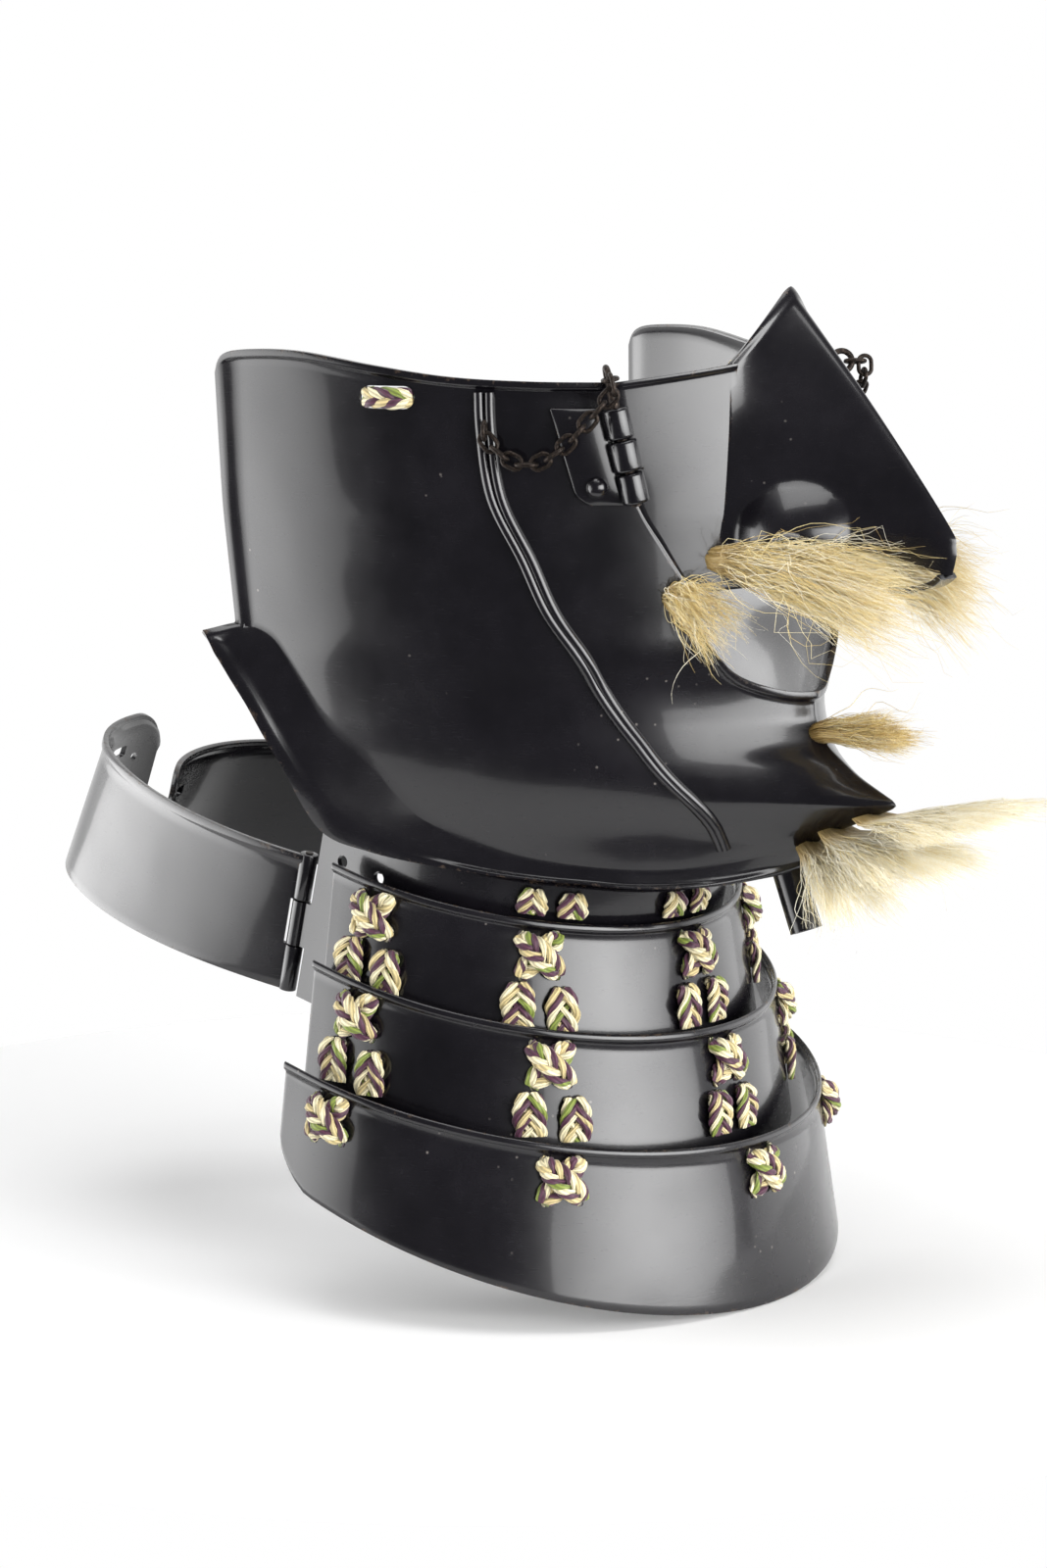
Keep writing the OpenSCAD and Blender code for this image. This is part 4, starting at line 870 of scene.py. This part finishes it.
def wall_point(i, a, drop):
    """A point of the lame's outer face; a is 0 in front and 90 at the wearer's right."""
    s, c = sin_d(a), cos_d(a)
    r = (LAME_RAD[i] + FLARE*drop)/(1 - FLARE*SLOPE*c)
    return np.array([-r*s, LAME_Y[i] - r*c, lame_top(i) - SLOPE*r*c - drop])


def side_point(i, side, t, drop):
    """The same on the straight stretch behind the cone; t is the distance behind its middle line."""
    x = LAME_RAD[i] + FLARE*(drop - SLOPE*t)
    return np.array([-side*x, LAME_Y[i] + t, lame_top(i) + SLOPE*t - drop])

# %% Throat lames
BEAD_STEPS = [(0, 0.55), (0.12, 0.85), (0.3, 1), (0.6, 1), (0.78, 0.9), (0.92, 0.55), (1.05, 0.2), (1.2, 0)]
counts = []
for i in range(3):
    rear, front = (SKIRT_REAR, SKIRT_H) if i == 2 else (LAME_H, LAME_H)
    behind = LAME_END_Y - LAME_Y[i]
    # Stations are an angle on the cone, or a side and a distance on the straight stretches
    stations = [(1, behind*(1 - k/8)) for k in range(8)] + [(90 - a, None) for a in range(0, 181, 2)] \
        + [(-1, behind*k/8) for k in range(1, 9)]
    columns = []
    for a, t in stations:
        at = (lambda d: wall_point(i, a, d)) if t is None else (lambda d: side_point(i, a, t, d))
        e = LAME_END_Y - at(0)[1]
        high = rear + (front - rear)*e/100
        if i == 2 and e < SKIRT_CORNER:
            high -= 3*(1 - e/SKIRT_CORNER) + corner_arc(SKIRT_CORNER, e)*(1 - 3/SKIRT_CORNER)
        rolled = BEAD_H*BEAD_STEPS[-1][0]
        drops = [BEAD_H*s for s, _ in BEAD_STEPS] + [rolled + (high - rolled)*k/16 for k in range(1, 17)]
        columns.append([at(d) for d in drops])
    lift = [[BEAD*k]*len(columns) for k in [k for _, k in BEAD_STEPS] + [0]*16]
    lame = sheet(f"throat_lame_{i + 1}_dressed", np.array(columns).transpose(1, 0, 2), lift, thickness=BAND_T,
                 bevel=0.25, worn=4)
    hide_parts(f"throat_lame_{i + 1}")
    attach(lame, f"lame_{i + 1}")
    counts.append(len(lame.data.polygons))
print("lames:", counts, "faces")

# %% [markdown]
# ## Braid
# Every braid here is one flat plait of nine strands. A strand swings across the plait once for each
# turn and dips under its neighbours twice, which is a sine for the width and a sine of double the pace
# for the depth. A small function draws the strands along any path, and stores the dye and the yarns of
# each one for the silk's finish.

# %% Braid tool
STRANDS, SIDES, PLAIT_TURN, CORD_WIDE, CORD_DEEP, YARNS, TWIST, PLAIT_STEPS = 9, 10, 17, 0.88, 0.5, 5, 1.6, 26
DYES = [0.2, 0.7, 0.5, 0.7, 0.1, 0.9, 0.7, 0.2, 0.5]


def frame_path(path, outs):
    """Points, side and out directions and lengths run at even steps along a smooth path."""
    n = len(path) - 1
    spots = [spline(path, n*k/PLAIT_STEPS) for k in range(PLAIT_STEPS + 1)]
    for k, (p, run) in enumerate(zip(spots, run_lengths(spots))):
        ahead = unit(spots[min(k + 1, PLAIT_STEPS)] - spots[max(k - 1, 0)])
        out = spline(outs, n*k/PLAIT_STEPS)
        out = unit(out - ahead*(out @ ahead))
        yield k/PLAIT_STEPS, run, p, np.cross(ahead, out), out


def spread_over(values, share):
    """The value at a share of the way through a list."""
    return float(np.interp(share*(len(values) - 1), range(len(values)), values))


def braid(name, plaits, seed):
    """One object from several plaits; each has a path, its out directions, a width and a depth by place."""
    rng = random.Random(seed)
    points, faces, dyes, twists = [], [], [], []
    for path, outs, widths, depths in plaits:
        rows = list(frame_path(path, outs))
        shift = rng.uniform(0, 2*math.pi)
        first_dye, hand = rng.randrange(STRANDS), rng.choice((-1, 1))
        turn_length, off, slew = PLAIT_TURN*rng.uniform(0.75, 1.2), rng.uniform(-0.25, 0.25), rng.uniform(-0.5, 0.5)
        for strand in range(STRANDS):
            late, loose = rng.gauss(0, 0.13), rng.uniform(0.85, 1.08)
            start = len(points)
            for share, run, p, across, out in rows:
                wide, deep = spread_over(widths, share), spread_over(depths, share)
                flat = min(CORD_WIDE, wide/3.4)
                phase = 2*math.pi*(run/turn_length + strand/STRANDS) + shift + late
                swing = (wide/2 - flat)*loose*math.sin(phase) + (off + slew*(share - 0.5))*math.sin(math.pi*share)
                mid = p + across*swing + out*((deep/2 - CORD_DEEP)*math.sin(2*phase))
                for j in range(SIDES):
                    a = 2*math.pi*j/SIDES
                    points.append(tuple((mid + flat*across*math.cos(a) + CORD_DEEP*out*math.sin(a))*MM))
                    twists.append(YARNS*a + run*TWIST)
            dyes += [DYES[(first_dye + hand*strand) % STRANDS]]*(len(points) - start)
            faces += tube_faces(start, PLAIT_STEPS, SIDES)
    piece = drawn(name, points, faces, dye=dyes, twist=twists)
    turn_faces_out(piece)
    bpy.ops.object.shade_smooth()
    piece.data.materials.append(silk_braid)
    return piece

# %% [markdown]
# The braids are laid in the small frame of a lame's wall: across it, out of it and up it. A knot is two
# plaits that cross, one over the other, with their ends in four holes. A lace comes out of its hole as
# a loop and runs down behind the rim of the next lame.

# %% Frames on the lames and the collar
def on_lame(i, a, drop):
    turn, lean = math.radians(180 - a), math.atan(FLARE)
    x = level_way(turn)
    y = level_way(turn + math.pi/2)*math.cos(lean) + UP*math.sin(lean)
    return wall_point(i, a, drop), x, y, np.cross(x, y)


def on_collar(a):
    turn = math.radians(180 - a)
    place = np.array([-COLLAR_R*sin_d(a), RING_Y - COLLAR_R*cos_d(a), COLLAR_HOLE_Z])
    return [from_ring(v) for v in (place, level_way(turn), level_way(turn + math.pi/2), UP)]


def laid(frame, spots, widths, depths):
    """A plait through spots that are given in a wall's small frame."""
    p, x, y, z = frame
    return [p + x*q[0] + y*q[1] + z*q[2] for q in spots], [y]*len(spots), widths, depths


COLUMN_2, HOLE_DX, HOLE_DZ, KNOT_DROP, PAIR_RISE, COLLAR_HOLE_Z = 41, 3.6, 3.9, 7.7, 6.5, -42.4
PAIR_TURN = 4.6*DEG


def column_back(i):
    return 80 + 1.8*i

# %% Crossed braids
for i in range(3):
    plaits = []
    for a in (-column_back(i), -COLUMN_2, 0, COLUMN_2, column_back(i)):
        for x, high in ((-1, 1.5), (1, 3.5)):
            rising = [(0, high, 0), (2.7, high*0.75, 2.6), (HOLE_DX + 0.4, 0.7, HOLE_DZ + 0.1), (HOLE_DX, -1, HOLE_DZ)]
            spots = [(-x*q[0], q[1], -q[2]) for q in rising[:0:-1]] + [(x*q[0], q[1], q[2]) for q in rising]
            plaits.append(laid(on_lame(i, a, KNOT_DROP), spots, [2.6, 4.2, 5.7, 6.4, 5.7, 4.2, 2.6],
                               [1.6, 2.3, 2.8, 2.8, 2.8, 2.3, 1.6]))
    knots = braid(f"crossed_braids_{i + 1}", plaits, 11 + i)
    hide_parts(f"cross_knots_{i + 1}")
    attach(knots, f"lame_{i + 1}")

# %% Laces between the lames
LACE = [(0, -1.0, -0.1), (0, 0.9, 0.75), (0, 1.75, -0.5), (0, 1.75, -2.6), (0, 1.5, -4.8), (0, 1.12, -6.8),
        (0, 1.05, -8.4)]
SETS = {"front": lambda i: [0], "side": lambda i: [-COLUMN_2, COLUMN_2],
        "rear": lambda i: [-column_back(i), column_back(i)]}
for i, row, joint in ((0, "upper", "throat_lame_2_lift"), (1, "lower", "throat_lame_3_lift")):
    for where, angles in SETS.items():
        plaits = [laid(on_lame(i, a + x*PAIR_TURN/LAME_RAD[i], PITCH - PAIR_RISE), LACE,
                       [2.8, 5.2, 7.2, 8.0, 8.0, 7.6, 7.0], [1.6, 2.6, 2.8, 2.6, 2.2, 1.9, 1.8])
                  for a in angles(i) for x in (-1, 1)]
        name = f"{row}_laces_{where}"
        laces = braid(name + "_dressed", plaits, 31 + i)
        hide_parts(name)
        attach(laces, f"lame_{i + 1}")
        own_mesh(laces)

# %% Laces between the collar and the first lame
SHORT = [(0, -1.2, -0.1), (0, 0.8, 0.7), (0, 1.5, -0.5), (0, 1.4, -2), (0, 1.15, -3.3), (0, 1.1, -4.2)]
for where in ("front", "side"):
    plaits = [laid(on_collar(a + x*PAIR_TURN/COLLAR_R), SHORT, [2.8, 5.4, 7.2, 7.6, 7.2, 6.8],
                   [1.6, 2.4, 2.4, 2.2, 1.8, 1.7]) for a in SETS[where](0) for x in (-1, 1)]
    name = f"collar_laces_{where}"
    laces = braid(name + "_dressed", plaits, 51)
    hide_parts(name)
    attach(laces, "mask")
    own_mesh(laces)

# %% Cords in the cheek slots
CORD = [(-4.4, -3.2, 0), (-5.1, -0.9, 0), (-3.2, 0.7, 0), (0, 1.2, 0), (3.2, 0.7, 0), (5.1, -0.9, 0), (4.4, -3.2, 0)]
for side, name in ((1, "cheek_cord_right"), (-1, "cheek_cord_left")):
    plait = laid(on_face(SLOT_TH, SLOT_Z, side), CORD, [4.4, 4.8, 4.9, 4.9, 4.9, 4.8, 4.4],
                 [2, 2.2, 2.6, 2.6, 2.6, 2.2, 2])
    cord = braid(name + "_dressed", [plait], 61)
    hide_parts(name)
    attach(cord, "mask")

# %% [markdown]
# ## Chains
# A link is a round ring that has been pulled long: the vertices of a torus are moved apart by half the
# straight part. The links lie crosswise, one after the other, along a slack curve from the small ring
# on the cheek to the ring of the pin.

# %% Curve of the chain
WIRE_R, RING_R, RING_WIRE_R, PIN_UP, LINK_W, LINK_S, LINK_GAP = 0.5, 2.4, 0.7, 4.6, 1.5, 1.5, 0.3
HINGE_TH, HINGE_Z, HINGE_LEAN, HINGE_L, AXIS_OUT = 40, 43.8, math.radians(13), 21.2, 3.35
STAPLE_TH, STAPLE_Z, STAPLE_R, STAPLE_OUT = 56.9, 49.2, 1.9, 1.17
hinge_n = level_n(HINGE_TH, HINGE_Z)
hinge_back = np.array([hinge_n[1], -hinge_n[0], 0])
hinge_up = hinge_back*math.sin(HINGE_LEAN) + UP*math.cos(HINGE_LEAN)
hinge_at = face(HINGE_TH, HINGE_Z) + hinge_n*AXIS_OUT
eye = hinge_at + hinge_up*(HINGE_L/2 + PIN_UP + RING_R - WIRE_R)
link_end = LINK_S/2 + LINK_W
last_out = RING_R - RING_WIRE_R - WIRE_R - LINK_GAP + link_end
next_out = last_out + link_end
next_drop = 2*WIRE_R + LINK_GAP - link_end
chain_end = eye + hinge_n*next_out + hinge_up*(next_drop - link_end + WIRE_R + LINK_GAP/2)
chain_start = face(STAPLE_TH, STAPLE_Z) + level_n(STAPLE_TH, STAPLE_Z)*(STAPLE_OUT + STAPLE_R + WIRE_R + 0.1) \
    - [0, -0.2, STAPLE_R - 2*WIRE_R + 0.15]
SAG = [(0, 0), (0.1, -3.2), (0.25, -5.9), (0.4, -6.9), (0.55, -6.3), (0.7, -4.6), (0.85, -2.3), (1, 0)]
SAG_SCALE, CHAIN_OUT, TWO_LINKS = 1.45, 1.2, 6.4


def chain_at(t):
    return chain_start + (chain_end - chain_start)*t + UP*lookup(SAG, t)*SAG_SCALE \
        + hinge_n*CHAIN_OUT*math.sin(math.pi*t)


smooth = np.array([(chain_at((k - 1)/60) + 2*chain_at(k/60) + chain_at((k + 1)/60))/4 for k in range(61)])
runs = run_lengths(smooth)
count = round(runs[-1]/TWO_LINKS)*2 - 1


def chain_point(share):
    return np.array([np.interp(runs[-1]*share, runs, line) for line in smooth.T])


# Centre, length direction and thickness direction of each link
links = []
mid_n = level_n((HINGE_TH + STAPLE_TH)/2, HINGE_Z)
for k in range(count):
    a, b = chain_point(k/count), chain_point((k + 1)/count)
    d = unit(b - a)
    links.append(((a + b)/2, d, mid_n if k % 2 == 0 else np.cross(d, mid_n)))
links.append((eye + hinge_n*next_out + hinge_up*next_drop, hinge_up, hinge_back))
links.append((eye + hinge_n*last_out, hinge_n, hinge_up))

# %% [markdown]
# The nose plate is held by a hinge on each side. Two knuckles and a leaf are riveted to the cheek, and
# the knuckle between them stands on a stub of leaf from the nose plate. The pin goes down the bores.
# The leaf is beaten to the cheek, so it is drawn on the face's law, a little bowed off the plate.

# %% Nose hinges
KNUCKLE_R, KNUCKLE_L, KNUCKLE_GAP, LEAF_T, BORE_R = 3.0, 6.8, 0.4, 1.4, 1.3
LEAF_FROM, LEAF_TO, STUB_FROM, STUB_TO, LEAF_GAP = 40.6, 47.8, 37.9, 39, 0.3
RIVET_TH, RIVET_Z, RIVET_R, RIVET_FLAT = 44, 36.8, 2.45, 0.75


def barrel(centre, axis, radius):
    """A bored knuckle with rounded ends along an axis."""
    turn = Vector(axis).to_track_quat("Z", "Y").to_euler()
    made = bar(centre, turn, radius, KNUCKLE_L)
    rounding = made.modifiers.new("rounded", "BEVEL")
    rounding.width, rounding.segments = 0.7*MM, 3
    apply_all(made)
    subtract(made, bar(centre, turn, BORE_R, 2*KNUCKLE_L, 32))
    settle()
    return lacquer(made)


def leaf(name, th_a, th_b, height, gap, side):
    """A plate on the face between two angles, with its lower rear corner rounded."""
    z_mid = HINGE_Z - 0.5
    slant = math.tan(HINGE_LEAN)*DEG/CHEEK_DEPTH
    rows = []
    for k in range(21):
        up = 1 - k/10
        z = z_mid + height/2*up
        cut_in = 0.22*max(0, 1 - (1 + up)/0.28)**2
        row = []
        for c in range(17):
            u = c/16
            th = th_a + (th_b - th_a)*u*(1 - cut_in) + (z - z_mid)*slant
            # It stands off the cheek in the middle and comes down to it at the rear
            bow = 1.1*math.sin(math.pi*u)**0.8*(1 - up**6) - 0.5*u
            row.append(face(th, z) + face_n(th, z)*(gap + LEAF_T + bow))
        rows.append(row[::-1])
    return sheet(name, sided(rows, side), thickness=LEAF_T, bevel=0.45, worn=2.0)


for side, word in ((1, "right"), (-1, "left")):
    flip = np.array([side, 1, 1])
    centre, axis = hinge_at*flip, hinge_up*flip
    step = KNUCKLE_L + KNUCKLE_GAP
    ends = [barrel(centre + axis*k*step, axis, KNUCKLE_R) for k in (1, -1)]
    plate = leaf("leaf", LEAF_FROM, LEAF_TO, HINGE_L, LEAF_GAP, side)
    # The leaf leaves room for the knuckle of the nose plate
    turn = Vector(axis).to_track_quat("Z", "Y").to_euler()
    subtract(plate, bar(centre, turn, KNUCKLE_R + 0.3, KNUCKLE_L + 2*KNUCKLE_GAP))
    dressed = join(f"hinge_leaf_{word}_dressed", [plate] + ends)
    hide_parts(f"hinge_leaf_{word}")
    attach(dressed, "mask")
    middle = barrel(centre, axis, KNUCKLE_R + 0.25)
    stub = leaf("stub", STUB_FROM, STUB_TO, KNUCKLE_L - 1.6, 0, side)
    dressed = join(f"nose_knuckle_{word}_dressed", [stub, middle])
    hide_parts(f"nose_knuckle_{word}")
    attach(dressed, "mask")
heads = []
for side in (1, -1):
    # A rivet head is a sphere whose inner half is pressed flat
    flip = np.array([side, 1, 1])
    n = face_n(RIVET_TH, RIVET_Z)
    at, out = (face(RIVET_TH, RIVET_Z) + n*(LEAF_GAP + LEAF_T + 0.35))*flip, n*flip
    bpy.ops.mesh.primitive_uv_sphere_add(segments=32, ring_count=20, radius=RIVET_R*MM, location=tuple(at*MM))
    head = bpy.context.object
    bpy.ops.object.shade_smooth()
    settle()
    for v in head.data.vertices:
        v.co -= Vector(out)*min(0, (np.array(v.co)/MM - at) @ out)*RIVET_FLAT*MM
    head.data.materials.append(black_lacquer)
    heads.append(head)
rivets = join("leaf_rivets_dressed", heads)
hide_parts("leaf_rivets")
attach(rivets, "mask")

# %% Chains
bpy.ops.mesh.primitive_torus_add(major_segments=28, minor_segments=12, major_radius=LINK_W*MM,
                                 minor_radius=WIRE_R*MM)
link = bpy.context.object
for v in link.data.vertices:
    if abs(v.co.x) > 1e-7:
        v.co.x += math.copysign(LINK_S/2*MM, v.co.x)
bpy.ops.object.shade_smooth()
for side, word in ((1, "right"), (-1, "left")):
    flip = np.array([side, 1, 1])
    copies = []
    for at, x, z in links:
        z = unit(z - x*(z @ x))
        y = np.cross(z, x)
        made = link.copy()
        made.data = link.data.copy()
        bpy.context.collection.objects.link(made)
        for v in made.data.vertices:
            c = v.co/MM
            v.co = (at + x*c.x + y*c.y + z*c.z)*flip*MM
        copies.append(made)
    chain = join(f"chain_{word}", copies)
    turn_faces_out(chain)
    chain.data.materials.clear()
    chain.data.materials.append(patinated_iron)
    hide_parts(f"pin_chain_{word}")
    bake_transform(chain)
bpy.data.objects.remove(link)
print("links in each chain:", len(links))

# %% [markdown]
# ## Horsehair
# A tuft is a bundle of hairs pushed through a slot in the plate and glued behind. Each hair starts
# somewhere in the slot, follows the way the tuft grows, spreads a little, and sags by its own weight.
# Every hair is a three-sided tube that tapers to nothing, drawn by one function from a seeded chance.

# %% Hair tool
HAIR_STEPS, HAIR_R, CLUMP_PULL, STRAYS, INTO_PLATE = 15, 0.1, 0.55, 0.06, 1.2
# Sizes and pitches of the waves in a hair, in turn along the slot and across it
CURLS = ((0.7, 26), (0.7, 23), (0.26, 8.5), (0.26, 10))


def hair(name, replaced, side, place, grow, slot_w, slot_h, length, fan, sag, count, seed, tones, wild):
    """A tuft; wild scales how far its hairs stray and curl, and tones is a mean and a spread."""
    th, z, roll = place
    rng = random.Random(seed)
    n = face_n(th, z)
    level = unit(np.cross([0, 0, 1], n))
    rise = np.cross(n, level)
    along, across = level*cos_d(roll) + rise*sin_d(roll), rise*cos_d(roll) - level*sin_d(roll)
    base = face(th, z) + n*0.3
    grow, sag = unit(np.array(grow, float)), np.array(sag, float)
    flip = np.array([side, 1, 1])
    points, faces, tone, share = [], [], [], []
    clumps = [(rng.uniform(-1, 1), rng.uniform(-1, 1), rng.gauss(0, 1), rng.gauss(0, 1), rng.uniform(0.72, 1.05))
              for _ in range(max(6, count//28))]

    def in_slot(u, v):
        return along*u*slot_w/2 + across*v*slot_h/2

    for _ in range(count):
        while True:
            u, v = rng.uniform(-1, 1), rng.uniform(-1, 1)
            if u*u + v*v < 1:
                break
        near = min(clumps, key=lambda q: (q[0] - u)**2 + (q[1] - v)**2)
        offset = in_slot(u, v)
        root = base + offset
        pull = in_slot(near[0] - u, near[1] - v)*CLUMP_PULL
        reach = length*near[4]*rng.uniform(0.8, 1.04)
        stray = 3 if rng.random() < STRAYS else 1
        heading = unit(grow + along*(near[2]*0.05 + rng.gauss(0, 0.05)*stray)*wild
                       + across*(near[3]*0.06 + rng.gauss(0, 0.06)*stray)*wild)
        sink = rng.uniform(0.7, 1.3)
        curls = [(rng.gauss(0, size)*wild*stray, rng.uniform(0, 6.3), 6.28*reach/pitch) for size, pitch in CURLS]
        thick = HAIR_R*rng.uniform(0.75, 1.15)
        own = min(1.0, max(0.0, rng.gauss(*tones)))
        spots = [root - n*INTO_PLATE]
        for k in range(1, HAIR_STEPS + 1):
            s = k/HAIR_STEPS
            c = [size*math.sin(phase + turns*s)*min(1, 2*s) for size, phase, turns in curls]
            spots.append(root + offset*fan*s + pull*s*(1 + fan) + heading*reach*s + sag*sink*s*s
                         + along*(c[0] + c[2]) + across*(c[1] + c[3]) + n*0.5*math.sin(min(1, s*6)*math.pi/2))
        quads = tube_faces(len(points), HAIR_STEPS, 3)
        faces += quads if side > 0 else [quad[::-1] for quad in quads]
        for k, p in enumerate(spots):
            ahead = unit(spots[min(k + 1, HAIR_STEPS)] - spots[max(k - 1, 0)])
            # Any direction that no hair follows gives two directions across the hair
            a = unit(np.cross(ahead, [0.3, 0.2, 0.93]))
            b = np.cross(ahead, a)
            w = thick*(1 - 0.8*(k/HAIR_STEPS)**1.6)
            points += [tuple((p + w*(a*math.cos(2.094*j) + b*math.sin(2.094*j)))*flip*MM) for j in range(3)]
            share += [k/HAIR_STEPS]*3
        tone += [own]*3*(HAIR_STEPS + 1)
    tuft = drawn(name, points, faces, tone=tone, along=share)
    bpy.ops.object.shade_smooth()
    tuft.data.materials.append(horsehair)
    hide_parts(replaced)
    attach(tuft, "mask")
    return tuft

# %% Moustache, corner tufts, lip tuft and beard
tufts = []
for side, word in ((1, "right"), (-1, "left")):
    tufts.append(hair(f"moustache_hair_{word}", f"moustache_{word}", side, (28.6, 20.8, 60), [0.16, -1, -0.03],
                      5.5, 5, 48, 1.5, [3, 0, -7], 1500, 71, (0.7, 0.24), 1.25))
    tufts.append(hair(f"corner_hair_{word}", f"corner_tuft_{word}", side, (35.6, 12.6, 70), [0.1, -1, -0.12],
                      5, 4, 13, 2.4, [1, 0, -4], 480, 73, (0.6, 0.22), 2.2))
tufts.append(hair("lip_hair", "lip_tuft", 1, (0, -19, 0), [0, -1, 0.03], 6.5, 5, 25, 0.4, [0, 0, 0.5], 900, 75,
                  (0.5, 0.24), 0.8))
BEARD = [(-37.2, [0, -1, 0.29], 3.2, -6, "front", 37, 1900), (-41.2, [0, -1, 0.0], 2.8, -5, "middle", 32, 1500),
         (-45.2, [0, -0.85, -0.5], 2.6, -3, "rear", 20, 1000)]
for k, (z, grow, fan, fall, word, length, number) in enumerate(BEARD):
    tufts.append(hair(f"beard_hair_{word}", f"beard_{word}", 1, (0, z, 0), grow, 11, 3.6, length, fan, [0, 0, fall],
                      number, 77 + k, (0.93, 0.16), 1.3))
print("hairs:", sum(len(t.data.vertices) for t in tufts)//(3*(HAIR_STEPS + 1)))

# %% [markdown]
# ## Floor and lamps
# A plain pale floor catches the shadow. Black lacquer shows whatever stands round it, so the room is
# drawn for it as in a product studio: white behind the object, dark towards the camera, and soft
# boxes at the sides whose edges give the long pale reflections.

# %% Floor
# A round board in metres, small enough that it doesn't show in the cheek
BOARD_R, BOARD_X = 0.23, 0.02
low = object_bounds()[0][2]
bpy.ops.mesh.primitive_circle_add(vertices=96, radius=BOARD_R, fill_type="NGON", location=(BOARD_X, 0.0, low))
floor = bpy.context.object
floor.name = "white_turntable"
board_paint, tree, shader = finish("matt_white_board")
shader.inputs["Base Color"].default_value = linear("#f6f6f6")
shader.inputs["Roughness"].default_value = 0.9
shader.inputs["Specular IOR Level"].default_value = 0.1
floor.data.materials.append(board_paint)

# %% Room
world = bpy.data.worlds.new("white_sweep_and_dark_room")
bpy.context.scene.world = world
world.use_nodes = True
tree = world.node_tree
backdrop = tree.nodes["Background"]
look = node(tree, "ShaderNodeTexCoord").outputs["Generated"]
behind = (-math.sin(AZIMUTH), math.cos(AZIMUTH), 0.0)
facing = node(tree, "ShaderNodeVectorMath", {"operation": "DOT_PRODUCT"}, i0=look, i1=behind).outputs["Value"]
room = ramp(tree, remap(tree, facing, -1.0, 1.0),
            [(0.0, "#5e5e63"), (0.5, "#6c6c70"), (0.62, "#ffffff"), (1.0, "#ffffff")])
# Shiny surfaces mirror the room, the soft light is an even grey, and the camera sees plain white
ways = node(tree, "ShaderNodeLightPath").outputs
mirror_ray = maths(tree, "MAXIMUM", ways["Is Glossy Ray"], ways["Is Transmission Ray"])
shown = mixed(tree, mirror_ray, (0.45, 0.45, 0.45, 1.0), room)
shown = mixed(tree, ways["Is Camera Ray"], shown, (1.0, 1.0, 1.0, 1.0))
tree.links.new(shown, backdrop.inputs["Color"])

# %% Lamps
# Distance of each soft box in metres
LAMP_AT = 1.3


def soft_box(name, azimuth, elevation, wide, high, radiance, roll=0, spread=179):
    """An area lamp that faces the object and spans the given angles; azimuth 0 is in front of the face.

    A spread below 180 degrees lets its light fade towards its edges, as the cloth of a soft box does.
    """
    a, e = math.radians(azimuth), math.radians(elevation)
    bpy.ops.object.light_add(type="AREA", location=tuple(AIM*MM + seen_from(a, e)*LAMP_AT),
                             rotation=(math.pi/2 - e, 0, a))
    box = bpy.context.object
    box.name = name
    box.rotation_euler.rotate_axis("Z", math.radians(roll))
    box.data.shape = "RECTANGLE"
    box.data.size = 2*LAMP_AT*math.tan(math.radians(wide/2))
    box.data.size_y = 2*LAMP_AT*math.tan(math.radians(high/2))
    box.data.spread = math.radians(spread)
    half = math.radians(spread/2)
    box.data.energy = radiance*math.pi*box.data.size*box.data.size_y*(1 - half/math.tan(half))


soft_box("front_soft_box", -1, 8, 68, 36, 11, spread=98)
soft_box("side_soft_box", 64, -2, 46, 26, 1)
soft_box("rear_soft_box", -147, -11, 82, 58, 6.5, roll=30, spread=104)
soft_box("top_soft_box", -50, 82, 40, 40, 3.6)
